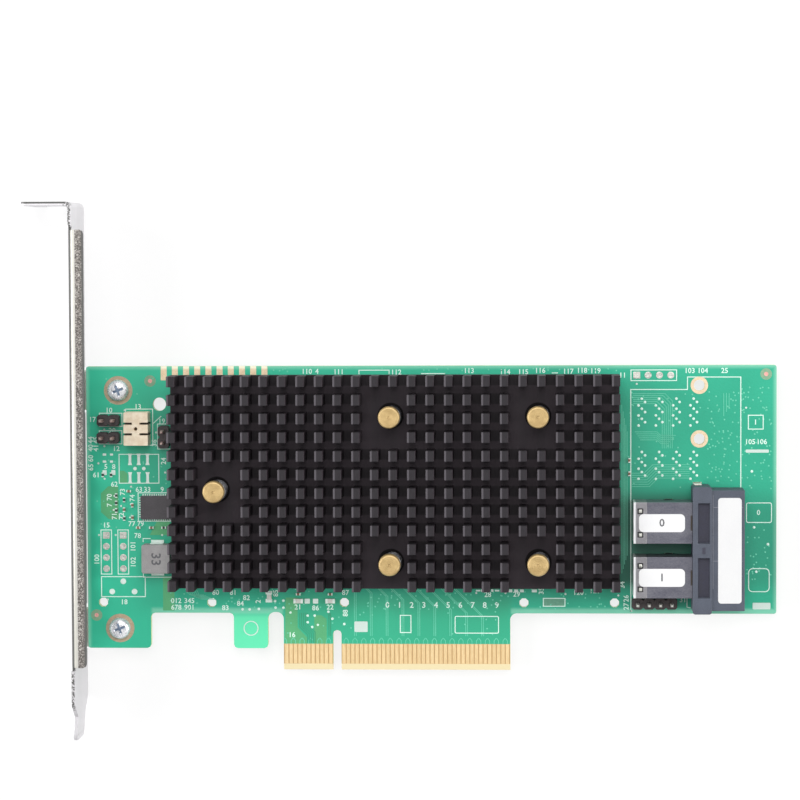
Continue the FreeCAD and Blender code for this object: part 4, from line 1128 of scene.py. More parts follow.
    @staticmethod
    def wire(paths: Iterable[Sequence[Point]], low: float) -> Piece:
        """Draws bare edges from corner to corner. They are left open in edit mode, with all of them selected.

        Args:
            paths: the corners of each line in millimetres.
            low: their height in millimetres.

        Returns:
            The edges as one open piece.
        """
        piece = None
        for path in paths:
            corners = [mm(x, y, low) for x, y in path]
            if piece is None:
                Bench.take()
            bpy.ops.mesh.primitive_plane_add(size=MM, location=corners[0])
            if piece is None:
                piece = Bench.settle(bpy.context.object)
                Bench.edit(piece)
                bpy.ops.mesh.select_mode(type="VERT")
                bpy.ops.mesh.select_all(action="SELECT")
            bpy.ops.mesh.merge(type="CENTER")
            for start, end in zip(corners, corners[1:]):
                bpy.ops.mesh.extrude_vertices_move(TRANSFORM_OT_translate={"value": end - start})
        bpy.ops.mesh.select_all(action="SELECT")
        return piece

    @staticmethod
    def tracks(paths: Iterable[Sequence[Point]], width: float, low: float, thick: float) -> Piece:
        """Draws flat lines of one width, each from corner to corner.

        Args:
            paths: the corners of each line in millimetres.
            width: the lines' width in millimetres.
            low: height of their underside in millimetres.
            thick: their thickness in millimetres.

        Returns:
            All the lines as one piece.
        """
        piece = Bench.wire(paths, low)
        bpy.ops.mesh.extrude_edges_move(TRANSFORM_OT_translate={"value": mm(0, 0, thick)})
        Bench.close()
        body = piece.modifiers.new("line_width", "SOLIDIFY")
        body.thickness = width * MM
        body.offset = 0.0
        body.use_even_offset = True
        Bench.take(piece)
        bpy.ops.object.modifier_apply(modifier=body.name)
        Bench.edit(piece)
        Bench.mend()
        return piece

    @staticmethod
    def patch(outline: Sequence[Point], low: float, thick: float) -> Piece:
        """Cuts a flat piece with straight sides.

        Args:
            outline: its corners in order, in millimetres.
            low: height of its underside in millimetres.
            thick: its thickness in millimetres.

        Returns:
            The flat piece.
        """
        piece = Bench.wire([outline], low)
        bpy.ops.mesh.edge_face_add()
        bpy.ops.mesh.extrude_region_move(TRANSFORM_OT_translate={"value": mm(0, 0, thick)})
        Bench.mend()
        return piece

    @staticmethod
    def numeral(text: str, centre: Point, height: float, low: float, turn: float = 0.0) -> Piece:
        """Makes a plain number that lies flat.

        Args:
            text: the digits.
            centre: its middle, in millimetres.
            height: height of the digits in millimetres.
            low: height of its underside in millimetres.
            turn: degrees that it is turned.

        Returns:
            The number as a mesh.
        """
        Bench.take()
        bpy.ops.object.text_add(location=mm(*centre, low + 0.01), rotation=(0.0, 0.0, math.radians(turn)))
        words = bpy.context.object
        words.data.body = text
        words.data.size = height * MM / 0.7
        words.data.extrude = 0.01 * MM
        words.data.offset = 0.022 * height * MM
        words.data.resolution_u = 2
        words.data.align_x = "CENTER"
        words.data.align_y = "CENTER"
        bpy.ops.object.convert(target="MESH")
        return Bench.settle(bpy.context.object)

    @staticmethod
    def repeat(master: Piece, moves: Iterable[Matrix]) -> Piece:
        """Copies a modelled piece to several places, each with its own mesh, and joins the copies.

        Args:
            master: the piece that is copied, and then removed.
            moves: where each copy goes.

        Returns:
            The joined copies.
        """
        copies = []
        for move in moves:
            mesh = master.data.copy()
            mesh.transform(move)
            twin = bpy.data.objects.new(master.name, mesh)
            bpy.context.scene.collection.objects.link(twin)
            copies.append(twin)
        bpy.data.objects.remove(master)
        return Bench.join(copies)

    @staticmethod
    def join(pieces: Sequence[Piece]) -> Piece:
        """Joins pieces into the first one.

        Args:
            pieces: the pieces.

        Returns:
            The joined piece.
        """
        Bench.take(*pieces)
        if len(pieces) > 1:
            bpy.ops.object.join()
        return bpy.context.view_layer.objects.active

    @staticmethod
    def shift(x: float, y: float, z: float = 0.0, turn: float = 0.0) -> Matrix:
        """Gives the move that turns a copy about Z and takes it to a place in millimetres."""
        return Matrix.Translation(mm(x, y, z)) @ Matrix.Rotation(math.radians(turn), 4, "Z")

    @staticmethod
    def parts(node: str) -> list[tuple[Vector, Vector]]:
        """Finds the boxes of the separate solids in a CAD node.

        Args:
            node: the node's name.

        Returns:
            Each solid's lowest and highest corners in millimetres, sorted by place.
        """
        copy = bmesh.new()
        copy.from_mesh(frame["nodes"][node].data)
        bmesh.ops.remove_doubles(copy, verts=copy.verts, dist=1e-6)
        left = set(copy.verts)
        boxes = []
        while left:
            solid = set()
            edge = [left.pop()]
            while edge:
                corner = edge.pop()
                solid.add(corner)
                near = {link.other_vert(corner) for link in corner.link_edges} & left
                left -= near
                edge.extend(near)
            spans = [sorted(corner.co[axis] / MM for corner in solid) for axis in range(3)]
            boxes.append((Vector([s[0] for s in spans]), Vector([s[-1] for s in spans])))
        copy.free()
        return sorted(boxes, key=lambda box: (round(box[0].x, 3), round(box[0].y, 3)))


@dataclass
class SubAssembly:
    """A group of the card's pieces that are built and dressed together."""

    def show(self, piece: Piece, name: str, finish: Finish, replaced: Sequence[str] = ()) -> None:
        """Names a new piece, gives it its finish, and hands it to the frame.

        Args:
            piece: the finished mesh, with its place in it.
            name: the piece's name.
            finish: what it is finished in.
            replaced: the CAD nodes that it stands for.
        """
        piece.name = name
        piece.data.name = name
        piece.data.materials.clear()
        piece.data.materials.append(finish.material())
        Bench.take(piece)
        bpy.ops.object.shade_smooth_by_angle(angle=math.radians(32))
        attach(piece, BODY)
        if replaced:
            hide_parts(*replaced)
        LOG.info("made %s (%d faces)", name, len(piece.data.polygons))

    def dress(self, finish: Finish, *nodes: str) -> None:
        """Gives CAD nodes a finish.

        Args:
            finish: what they are finished in.
            *nodes: the nodes' names.
        """
        for node in nodes:
            frame["nodes"][node].material_slots[0].material = finish.material()
            LOG.info("dressed %s", node)

    def soften(self, node: str, width: float, segments: int = 2) -> None:
        """Breaks the sharp edges of a CAD node.

        Args:
            node: the node's name.
            width: width of the broken edges in millimetres.
            segments: faces across each broken edge.
        """
        piece = frame["nodes"][node]
        weld = piece.modifiers.new("weld", "WELD")
        weld.merge_threshold = 0.001 * MM
        flat = piece.modifiers.new("flat_faces", "DECIMATE")
        flat.decimate_type = "DISSOLVE"
        flat.angle_limit = math.radians(0.5)
        edge = piece.modifiers.new("edge_break", "BEVEL")
        edge.width = width * MM
        edge.segments = segments
        edge.limit_method = "ANGLE"
        edge.angle_limit = math.radians(40)
        edge.use_clamp_overlap = True

    def build(self) -> None:
        """Builds and dresses the sub-assembly's pieces."""
        raise NotImplementedError


# ---------------------------------------------------------------- the card


@dataclass(frozen=True)
class Bundle:
    """Tracks that run side by side.

    The corners are those of the first lane, and the steps say how far each moves from lane to lane.
    """

    lanes: int
    corners: Path
    steps: Path

    def paths(self) -> list[Path]:
        """Gives the corners of every lane."""
        pairs = tuple(zip(self.corners, self.steps))
        return [
            tuple((x + lane * dx, y + lane * dy) for (x, y), (dx, dy) in pairs)
            for lane in range(self.lanes)
        ]


@dataclass
class Board(SubAssembly):
    """The board's mask, pads, rings, vias and covered copper."""

    film: float = 0.03
    retainer_holes: Path = ((81.65, 64.35), (81.65, 52.3))
    retainer_ring: float = 1.95
    retainer_radius: float = 1.25
    tooling_holes: Path = ((-53.2, 15.3), (-28.5, 15.25), (1.65, 15.3), (42.25, 15.3), (62.65, 15.3))
    mount_hole: Point = (-40.1, 60.3)
    fiducials: Path = ((-42.19, 65.56), (-54.81, 12.35), (96.56, 66.85))
    fiducial_radius: float = 0.5
    opening_radius: float = 1.3
    opening_film: float = 0.012
    screw_pad: float = 3.25
    screw_pad_width: float = 1.2
    spare_headers: tuple[tuple[Point, Point], ...] = (
        ((-52.45, 30.55), (0.0, -2.54)),
        ((-48.6, 30.55), (0.0, -2.54)),
        ((67.65, 66.65), (2.54, 0.0)),
    )
    spare_count: int = 4
    spare_radius: float = 0.78
    pad_film: float = 0.04
    pad_corner: float = 0.1
    jack_pads: Path = ((-48.65, 20.05), (-51.2, 17.7), (-46.1, 17.7))
    jack_radius: float = 0.66
    latch_pads: tuple[float, ...] = (-46.9, -44.9, -42.9)
    latch_rows: tuple[Point, Point] = ((46.5, 49.1), (42.3, 44.9))
    latch_widths: Point = (0.48, 0.3)
    latch_foot: float = 0.6
    latch_dots: Path = ((-45.75, 45.7), (-43.75, 45.7))
    small_pads: tuple[tuple[float, float, float, float], ...] = (
        (-52.7, 48.9, 0.8, 0.5), (-51.1, 48.9, 0.7, 0.45), (-52.7, 47.3, 0.8, 0.5), (-51.1, 47.3, 0.7, 0.5),
        (-52.7, 44.8, 0.95, 1.1), (-50.7, 44.8, 0.9, 1.1), (-15.5, 17.5, 1.5, 0.8), (-15.5, 15.7, 1.5, 0.8),
        (-6.8, 15.6, 1.2, 1.1), (-4.9, 15.6, 1.2, 1.1), (31.9, 18.05, 1.0, 0.35), (32.8, 18.05, 0.5, 0.55),
        (35.1, 18.05, 0.55, 0.55), (36.2, 18.05, 1.0, 0.35), (39.2, 18.0, 0.85, 0.65),
        (40.5, 18.0, 0.85, 0.65),
        (41.8, 18.0, 0.85, 0.65), (44.6, 18.0, 1.15, 0.65), (-50.5, 39.5, 0.4, 0.4), (-50.7, 36.3, 0.4, 0.4),
        (-47.6, 40.6, 0.4, 0.35), (-46.8, 37.6, 0.35, 0.4), (-49.0, 37.2, 0.35, 0.4),
        (-47.0, 34.6, 0.4, 0.35),
    )
    via_groups: int = 4
    via_group_step: float = 3.87
    via_columns: tuple[float, float, float] = (68.04, 68.77, 69.5)
    via_order: tuple[int, ...] = (1, 2, 0, 1, 2, 0, 1, 2, 0)
    via_top: float = 61.36
    via_row_step: float = 0.754
    via_second_row: float = 12.0
    via_radius: float = 0.31
    via_film: float = 0.035
    loose_via: Point = (0.2, 0.15)
    loose_film: float = 0.02
    root_vias: Path = (
        (-14.1, 15.6), (-12.2, 15.7), (-14.0, 14.1), (-12.2, 14.1), (-10.6, 13.0), (-6.7, 12.3), (-5.1, 12.3),
        (-6.7, 10.8), (-5.7, 9.7), (-4.4, 10.2), (-1.1, 11.6), (-2.0, 13.2), (1.6, 10.4), (-21.5, 13.7),
        (-19.9, 13.7), (-17.8, 13.8), (93.9, 32.4), (94.4, 22.4), (93.4, 45.0), (97.0, 28.6),
    )
    via_fields: tuple[tuple[float, float, float, float, int], ...] = (
        (83.5, 40.0, 98.0, 64.0, 150), (65.5, 41.0, 82.0, 63.0, 30), (92.0, 20.5, 98.0, 32.0, 26),
        (-38.0, 13.8, 62.0, 18.6, 130), (-55.5, 32.0, -38.0, 48.0, 40), (-13.0, 8.0, 38.0, 13.5, 20),
        (-55.5, 60.0, -38.5, 68.0, 10), (-38.0, 67.6, 64.0, 68.4, 34),
    )
    notch_top: float = 13.4
    tongue_inside: Point = (-11.5, 38.5)
    part_clearance: float = 0.6
    hole_clearance: float = 2.3
    covering_parts: tuple[str, ...] = (
        "port_guide", "port_shell_lower", "port_shell_upper", "console_header_body", "bracket_screw_lower",
    )
    pours: tuple[Path, ...] = (
        ((-53.6, 40.1), (-51.9, 41.7), (-49.6, 41.7), (-49.6, 34.2), (-51.8, 34.2), (-53.6, 35.8)),
        ((-49.2, 42.5), (-47.5, 42.5), (-47.5, 44.6), (-48.3, 45.2), (-49.2, 45.2)),
        ((-42.5, 30.6), (-37.9, 30.6), (-37.9, 34.2), (-40.6, 34.2), (-41.1, 33.3)),
        ((-39.6, 13.4), (-37.0, 13.4), (-37.0, 21.2), (-39.6, 21.2)),
        ((-11.9, 6.0), (-6.9, 6.0), (-6.9, 7.4), (-9.0, 9.6), (-9.0, 16.4), (-11.7, 16.4)),
        ((-5.2, 6.0), (-2.4, 6.0), (-2.4, 11.6), (-3.6, 12.4), (-5.2, 12.4)),
    )
    stub_rises: Point = (0.8, 1.4)
    stub_lean: float = 0.45
    track_film: float = 0.014
    contact_pairs: tuple[Bundle, ...] = (
        Bundle(9, ((3.3, 18.8), (3.9, 18.2), (3.9, 7.7)), ((2.85, 0.0), (3.6, -0.75), (3.6, 0.0))),
        Bundle(9, ((3.7, 18.8), (4.3, 18.2), (4.3, 7.7)), ((2.85, 0.0), (3.6, -0.75), (3.6, 0.0))),
    )
    root_bundles: tuple[Bundle, ...] = (
        Bundle(
            5, ((-8.5, 12.9), (-8.5, 9.7), (-6.7, 7.9), (-6.7, 6.1)),
            ((0.42, 0.0), (0.42, 0.17), (0.42, 0.17), (0.42, 0.0)),
        ),
        Bundle(2, ((-1.9, 12.9), (-1.9, 7.7)), ((0.4, 0.0), (0.4, 0.0))),
    )
    signal_bundles: tuple[Bundle, ...] = (
        Bundle(
            7, ((66.6, 41.6), (70.5, 41.6), (72.4, 43.5), (79.5, 43.5)),
            ((0.0, 0.5), (-0.2, 0.5), (-0.2, 0.5), (0.0, 0.5)),
        ),
        Bundle(
            6, ((66.8, 62.5), (74.0, 62.5), (75.6, 60.9), (75.6, 50.2)),
            ((0.0, -0.45), (-0.45, -0.45), (-0.45, -0.45), (-0.45, 0.0)),
        ),
        Bundle(
            5, ((67.2, 53.9), (72.2, 53.9), (73.0, 53.1), (76.4, 53.1)),
            ((0.3, -0.45), (0.0, -0.45), (0.0, -0.45), (-0.4, -0.45)),
        ),
        Bundle(5, ((64.3, 22.0), (64.3, 60.0)), ((0.3, 1.0), (0.3, -1.5))),
        Bundle(3, ((87.1, 57.4), (87.1, 62.6)), ((0.6, 1.0), (0.6, 0.0))),
        Bundle(6, ((-34.5, 18.4), (-33.5, 17.0), (-30.3, 17.0)), ((0.5, 0.0), (0.5, -0.2), (0.5, -0.2))),
    )

    def build(self) -> None:
        """Builds the board's dressing."""
        self.dress(Paint.MASK, "circuit_board")
        self.soften("circuit_board", 0.12, 1)
        self.dress(Paint.GOLD, "edge_contacts_front", "edge_contacts_rear")
        self.dress(Paint.PEACH, "top_test_pads")
        self.rings()
        self.pads()
        self.vias()
        self.copper()

    def ring(
        self, centre: Point, radius: float, width: float, film: float, sides: int, base: float = 0.0,
    ) -> Piece:
        """Makes a thin flat ring.

        Args:
            centre: its middle.
            radius: its outer radius.
            width: how wide it is from rim to rim.
            film: how thick it is.
            sides: faces round it.
            base: height of its underside.

        Returns:
            The ring.
        """
        return Bench.pierce(Bench.turned(centre, [(radius, base), (radius, base + film)], sides), width)

    def rings(self) -> None:
        """Lays copper rings round the retainer holes and under the screws, and the three fiducials."""
        width = self.retainer_ring - self.retainer_radius
        bases = {Side.FRONT: 0.0, Side.REAR: BOARD_LOW.z - self.film}
        pieces = [
            self.ring(hole, self.retainer_ring, width, self.film, 32, bases[side])
            for hole in self.retainer_holes for side in Side
        ]
        self.show(Bench.join(pieces), "retainer_rings", Paint.PEACH)
        pieces = [
            self.ring(middle(f"bracket_screw_{name}"), self.screw_pad, self.screw_pad_width, self.film, 40)
            for name in ("lower", "upper")
        ]
        self.show(Bench.join(pieces), "screw_pads", Paint.COPPER)
        profile = [(self.fiducial_radius, 0.0), (self.fiducial_radius - 0.04, 0.035)]
        dots = [Bench.turned(centre, profile, 16) for centre in self.fiducials]
        self.show(Bench.join(dots), "fiducial_dots", Paint.PINK)
        width = self.opening_radius - self.fiducial_radius
        openings = [
            self.ring(centre, self.opening_radius, width, self.opening_film, 24) for centre in self.fiducials
        ]
        self.show(Bench.join(openings), "mask_openings", Paint.OPENING)

    def pads(self) -> None:
        """Lays the tinned pads of the unused headers, jack, latch chip and small parts."""
        solder = []
        reach, rear = self.spare_radius, BOARD_LOW.z
        front_profile = [(reach, 0.0), (reach, 0.05), (reach * 0.7, 0.09), (reach * 0.4, 0.03)]
        rear_profile = [
            (reach * 0.4, rear - 0.03), (reach * 0.7, rear - 0.09), (reach, rear - 0.05), (reach, rear),
        ]
        for (x, y), (step_x, step_y) in self.spare_headers:
            solder.append(self.flat(x, y, 2 * reach, 2 * reach))
            for count in range(self.spare_count):
                place = (x + count * step_x, y + count * step_y)
                solder += [Bench.turned(place, profile, 20) for profile in (front_profile, rear_profile)]
        self.show(Bench.join(solder), "spare_header_pads", Paint.TIN)
        profile = [(self.jack_radius, 0.0), (self.jack_radius * 0.9, 0.06)]
        bright = [Bench.turned(place, profile, 20) for place in self.jack_pads]
        bright += [self.waisted(x, low, high) for x in self.latch_pads for low, high in self.latch_rows]
        bright += [Bench.turned(place, [(0.42, 0.0), (0.36, 0.05)], 14) for place in self.latch_dots]
        bright += [self.flat(*pad) for pad in self.small_pads]
        self.show(Bench.join(bright), "bright_pads", Paint.PALE_TIN)

    def flat(self, x: float, y: float, width: float, length: float) -> Piece:
        """Makes a rectangular pad.

        Args:
            x: its middle, along the card.
            y: its middle, up the card.
            width: its size along the card.
            length: its size up the card.

        Returns:
            The pad.
        """
        low = Vector((x - width / 2, y - length / 2, 0.0))
        high = Vector((x + width / 2, y + length / 2, self.pad_film))
        return Bench.plate(low, high, self.pad_corner, 2)

    def waisted(self, x: float, low: float, high: float) -> Piece:
        """Makes a latch pad, narrower at its middle.

        Args:
            x: its middle.
            low: its lower end.
            high: its upper end.

        Returns:
            The pad.
        """
        wide, narrow = self.latch_widths
        foot, head = low + self.latch_foot, high - self.latch_foot
        outline = (
            (x - wide, low), (x + wide, low), (x + narrow, foot), (x + narrow, head), (x + wide, high),
            (x - wide, high), (x - narrow, head), (x - narrow, foot),
        )
        return Bench.patch(outline, 0.0, 0.05)

    def vias(self) -> None:
        """Dots the port field's vias and the loose ones round it."""
        dot = Bench.turned((0.0, 0.0), [(self.via_radius, 0.0), (self.via_radius * 0.8, self.via_film)], 8)
        places = []
        for row in (0.0, self.via_second_row):
            for group in range(self.via_groups):
                for index, column in enumerate(self.via_order):
                    x = self.via_columns[column] + group * self.via_group_step
                    y = self.via_top - row - index * self.via_row_step
                    places += [Bench.shift(x, y), Bench.shift(x, y, BOARD_LOW.z - self.via_film)]
        places += [Bench.shift(x, y) for x, y in self.root_vias]
        self.show(Bench.repeat(dot, places), "port_field_vias", Paint.LEGEND)
        draw = random.Random(7)
        foot, crown = self.loose_via
        small = Bench.turned((0.0, 0.0), [(foot, 0.0), (crown, self.loose_film)], 6)
        loose = []
        for low_x, low_y, high_x, high_y, count in self.via_fields:
            for _ in range(count):
                x, y = draw.uniform(low_x, high_x), draw.uniform(low_y, high_y)
                if self.bare(x, y):
                    loose += [Bench.shift(x, y), Bench.shift(x, y, BOARD_LOW.z - self.loose_film)]
        self.show(Bench.repeat(small, loose), "loose_vias", Paint.TRACK)

    def bare(self, x: float, y: float) -> bool:
        """Tells whether a place is clear of the holes, the notches and the parts on the board.

        Args:
            x: the place along the card.
            y: the place up the card.

        Returns:
            True where nothing covers or cuts the board.
        """
        left, right = self.tongue_inside
        if y < self.notch_top and not left < x < right:
            return False
        gap = self.part_clearance
        for node in self.covering_parts:
            low, high = boundary(node)
            if low.x - gap < x < high.x + gap and low.y - gap < y < high.y + gap:
                return False
        holes = (*self.tooling_holes, *self.retainer_holes, self.mount_hole)
        return all(math.hypot(x - hole[0], y - hole[1]) > self.hole_clearance for hole in holes)

    def copper(self) -> None:
        """Draws the covered copper: pours, stubs above the contacts, long pairs and fine bundles."""
        pours = [Bench.patch(outline, 0.0, self.opening_film) for outline in self.pours]
        self.show(Bench.join(pours), "copper_pours", Paint.COVERED)
        stubs = []
        for index, (low, high) in enumerate(Bench.parts("edge_contacts_front")):
            x = (low.x + high.x) / 2
            lean = self.stub_lean if index % 2 else -self.stub_lean
            neck, tip = (high.y + rise for rise in self.stub_rises)
            stubs.append([(x, high.y), (x, neck), (x + lean, tip)])
        stubs += self.lanes(self.contact_pairs)
        self.show(Bench.tracks(stubs, 0.15, 0.0, self.track_film), "contact_tracks", Paint.TRACK)
        roots = Bench.tracks(self.lanes(self.root_bundles), 0.18, 0.0, 0.016)
        self.show(roots, "root_tracks", Paint.DEEP_TRACK)
        signals = Bench.tracks(self.lanes(self.signal_bundles), 0.13, 0.0, self.track_film)
        self.show(signals, "signal_tracks", Paint.TRACK)

    def lanes(self, bundles: Sequence[Bundle]) -> list[Path]:
        """Gives the corners of every lane of several bundles."""
        return [path for bundle in bundles for path in bundle.paths()]


@dataclass
class Legend(SubAssembly):
    """The board's printed frames, marks and plain numbers.

    A frame is its lower left corner, its upper right corner and its corners' radius. A part's frame is its
    clearances on the left, on the right, below and above. A number is its digits, its middle and the degrees
    that it is turned.
    """

    line: float = 0.2
    thick: float = 0.025
    height: float = 1.12
    pocket: tuple[Point, Point] = ((46.52, 14.43), (51.59, 16.42))
    pocket_film: float = 0.012
    part_frames: tuple[tuple[str, float, float, float, float], ...] = (
        ("activity_header_body", -0.2, 0.45, 0.3, 0.35),
        ("fault_header_body", -0.2, 0.45, 0.3, 0.35),
        ("cream_socket", 0.25, 0.6, 0.3, 0.6),
        ("service_header_body", 0.45, 0.3, 0.4, 0.4),
        ("regulator_chip", 0.75, 0.3, 0.6, 0.75),
    )
    bare_frames: tuple[tuple[Point, Point, float], ...] = (
        ((-53.72, 16.46), (-43.54, 21.21), 0.0), ((-53.75, 21.6), (-51.15, 31.85), 0.0),
        ((-49.9, 21.6), (-47.3, 31.85), 0.0), ((66.26, 65.32), (76.66, 67.92), 0.0),
        ((-49.48, 42.29), (-40.24, 49.04), 0.0), ((46.52, 14.43), (51.59, 16.42), 0.0),
        ((92.1, 33.4), (97.9, 38.0), 0.5), ((92.5, 54.4), (96.0, 57.7), 0.0), ((14.2, 8.4),
        (16.8, 12.5), 0.0),
        ((92.6, 17.8), (97.4, 23.2), 1.0), ((26.6, 8.3), (36.6, 12.3), 0.4),
    )
    lines: tuple[Path, ...] = (
        ((66.3, 13.26), (66.32, 63.43), (79.0, 63.41), (79.0, 66.21), (90.9, 66.19), (90.93, 40.36)),
        ((-41.6, 55.9), (-39.7, 57.6)),
        ((78.9, 16.9), (78.9, 14.4), (79.7, 14.2)),
        ((5.2, 67.0), (5.2, 67.9), (12.0, 67.9), (12.0, 67.0)),
        ((19.2, 67.1), (24.6, 67.1)),
        ((48.6, 67.2), (50.0, 67.2)),
    )
    digits: tuple[tuple[str, float, float, float], ...] = (
        ("44", -55.8, 52.2, 90), ("40", -55.8, 50.4, 90), ("45", -54.6, 52.2, 90), ("41", -54.6, 50.4, 90),
        ("60", -55.8, 48.0, 90), ("65", -55.8, 46.0, 90), ("61", -54.6, 44.2, 0), ("5", -52.4, 46.1, 0),
        ("8", -50.6, 46.1, 0), ("62", -50.5, 42.1, 0), ("63", -44.9, 40.9, 0), ("33", -43.0, 40.9, 0),
        ("9", -39.6, 40.9, 0), ("70", -51.6, 39.2, 90), ("7", -51.6, 37.4, 90), ("71", -50.5, 34.9, 90),
        ("72", -48.9, 34.9, 90), ("73", -48.6, 40.4, 90), ("74", -46.4, 39.0, 90),
        ("15", -52.4, 32.8, 0), ("77", -46.6, 33.1, 0), ("79", -44.6, 33.1, 0),
        ("78", -45.3, 30.4, 0), ("24", -39.2, 47.4, 90), ("12", -50.0, 50.2, 0),
        ("13", -45.0, 59.7, 0), ("10", -51.6, 58.9, 0), ("17", -55.4, 56.8, 0), ("19", -39.6, 56.4, 0),
        ("20", -50.9, 54.3, 0), ("36", -41.3, 51.5, 90), ("100", -54.6, 25.0, 90), ("101", -46.3, 28.0, 90),
        ("102", -46.3, 24.4, 90), ("18", -48.5, 15.3, 0), ("012", -36.6, 15.6, 0), ("345", -33.6, 15.6, 0),
        ("678", -36.6, 14.1, 0), ("901", -33.6, 14.1, 0), ("80", -27.6, 17.5, 0), ("81", -23.6, 17.5, 0),
        ("82", -20.6, 16.3, 0), ("83", -25.4, 14.0, 0), ("84", -22.0, 15.0, 0), ("2", -17.9, 15.5, 90),
        ("85", -13.9, 17.4, 90), ("21", -8.9, 14.2, 0), ("86", -4.9, 14.0, 0), ("22", -1.6, 14.2, 0),
        ("87", 1.9, 17.5, 0), ("88", 1.9, 12.9, 90), ("16", -10.3, 7.9, 0), ("28", 34.1, 17.1, 0),
        ("29", 40.6, 17.2, 0), ("35", 46.2, 18.0, 90), ("120", 54.5, 17.6, 0), ("121", 58.2, 18.0, 0),
        ("26", 65.3, 16.3, 90), ("27", 65.3, 14.5, 90), ("34", 64.4, 19.4, 90), ("31", 78.0, 16.0, 0),
        ("110", -6.6, 67.6, 0), ("4", -4.3, 67.6, 0), ("111", 0.6, 67.5, 0), ("112", 13.6, 67.4, 0),
        ("113", 30.0, 67.7, 0), ("114", 38.1, 67.4, 0), ("115", 42.2, 67.4, 0), ("116", 46.0, 67.7, 0),
        ("117", 52.3, 67.5, 0), ("118", 55.4, 67.7, 0), ("119", 58.4, 67.6, 0), ("11", 64.5, 66.6, 0),
        ("103", 79.5, 67.6, 0), ("104", 82.4, 67.6, 0), ("25", 87.3, 67.6, 0), ("105", 93.0, 51.6, 0),
        ("106", 95.6, 51.6, 0), ("1", 94.2, 56.0, 0), ("0", 94.9, 35.7, 0),
    )
    slot_digits: int = 10
    slot_start: Point = (11.4, 14.7)
    slot_step: float = 2.75
    slot_height: float = 1.3
    dots: Path = (
        (-54.1, 30.6), (-50.3, 30.6), (67.65, 64.7), (-52.7, 54.6), (-52.7, 50.8), (-48.0, 58.95),
        (-38.9, 44.8),
        (-46.7, 41.6), (-39.7, 30.6), (-52.2, 15.9), (62.0, 18.0), (31.5, 17.5), (38.1, 17.5), (63.5, 17.0),
        (51.6, 17.3), (-40.9, 53.9), (66.4, 13.5), (92.1, 59.3), (-52.7, 43.4), (-54.1, 46.9),
    )
    dot_radius: float = 0.24
    bars: tuple[tuple[Point, Point], ...] = (
        ((93.6, 13.9), (97.6, 15.4)), ((92.0, 49.2), (97.2, 49.9)), ((3.9, 8.6), (6.9, 11.0)),
    )
    hook_ring: Point = (-19.6, 9.4)
    hook_ring_radius: float = 1.7

    def around(self, node: str, left: float, right: float, down: float, up: float) -> Piece:
        """Frames a part on the board.

        Args:
            node: the part's CAD node.
            left: clearance on its left.
            right: clearance on its right.
            down: clearance below it.
            up: clearance above it.

        Returns:
            The frame.
        """
        low, high = boundary(node)
        return self.frame((low.x - left, low.y - down), (high.x + right, high.y + up))

    def frame(self, low: Point, high: Point, radius: float = 0.0) -> Piece:
        """Prints a rectangle's outline.

        Args:
            low: its lower left corner.
            high: its upper right corner.
            radius: its corners' radius.

        Returns:
            The outline.
        """
        corners = Vector((*low, 0.0)), Vector((*high, self.thick))
        blank = Bench.plate(*corners, radius) if radius else Bench.block(*corners)
        return Bench.pierce(blank, self.line)

    def build(self) -> None:
        """Prints the legend."""
        frames = [self.around(*frame) for frame in self.part_frames]
        frames += [self.frame(*frame) for frame in self.bare_frames]
        self.show(Bench.join(frames), "legend_frames", Paint.LEGEND)
        low, high = boundary("power_inductor_core")
        left = low.x - 0.1
        lines = [
            *self.lines,
            [(left, high.y + 0.3), (left, high.y + 1.1), (low.x + 1.6, high.y + 1.1)],
            [(left, low.y - 0.2), (left, low.y - 1.2), (high.x + 0.6, low.y - 1.2)],
        ]
        self.show(Bench.tracks(lines, self.line, 0.0, self.thick), "legend_lines", Paint.LEGEND)
        inset = Vector((self.line, self.line, 0.0))
        low, high = (Vector((*corner, 0.0)) for corner in self.pocket)
        fill = Bench.block(low + inset, high - inset + Vector((0.0, 0.0, self.pocket_film)))
        self.show(fill, "mask_patch", Paint.OLD_PRINT)
        self.marks()
        self.numbers()

    def marks(self) -> None:
        """Prints the first-pin dots and the bare write-on bars."""
        dot = Bench.turned((0.0, 0.0), [(self.dot_radius, 0.0), (self.dot_radius, self.thick)], 10)
        pieces = [Bench.repeat(dot, [Bench.shift(*place) for place in self.dots])]
        for low, high in self.bars:
            pieces.append(Bench.plate(Vector((*low, 0.0)), Vector((*high, self.thick)), 0.2, 2))
        radius = self.hook_ring_radius
        ring = Bench.turned(self.hook_ring, [(radius, 0.0), (radius, self.thick)], 32)
        pieces.append(Bench.pierce(ring, 0.22))
        self.show(Bench.join(pieces), "legend_marks", Paint.BROAD_LEGEND)

    def numbers(self) -> None:
        """Prints plain numbers beside the parts, and a row of digits above the contacts."""
        pieces = [Bench.numeral(text, (x, y), self.height, 0.0, turn) for text, x, y, turn in self.digits]
        start, y = self.slot_start
        for digit in range(self.slot_digits):
            place = (start + self.slot_step * digit, y)
            pieces.append(Bench.numeral(str(digit), place, self.slot_height, 0.0))
        self.show(Bench.join(pieces), "legend_numbers", Paint.LEGEND)


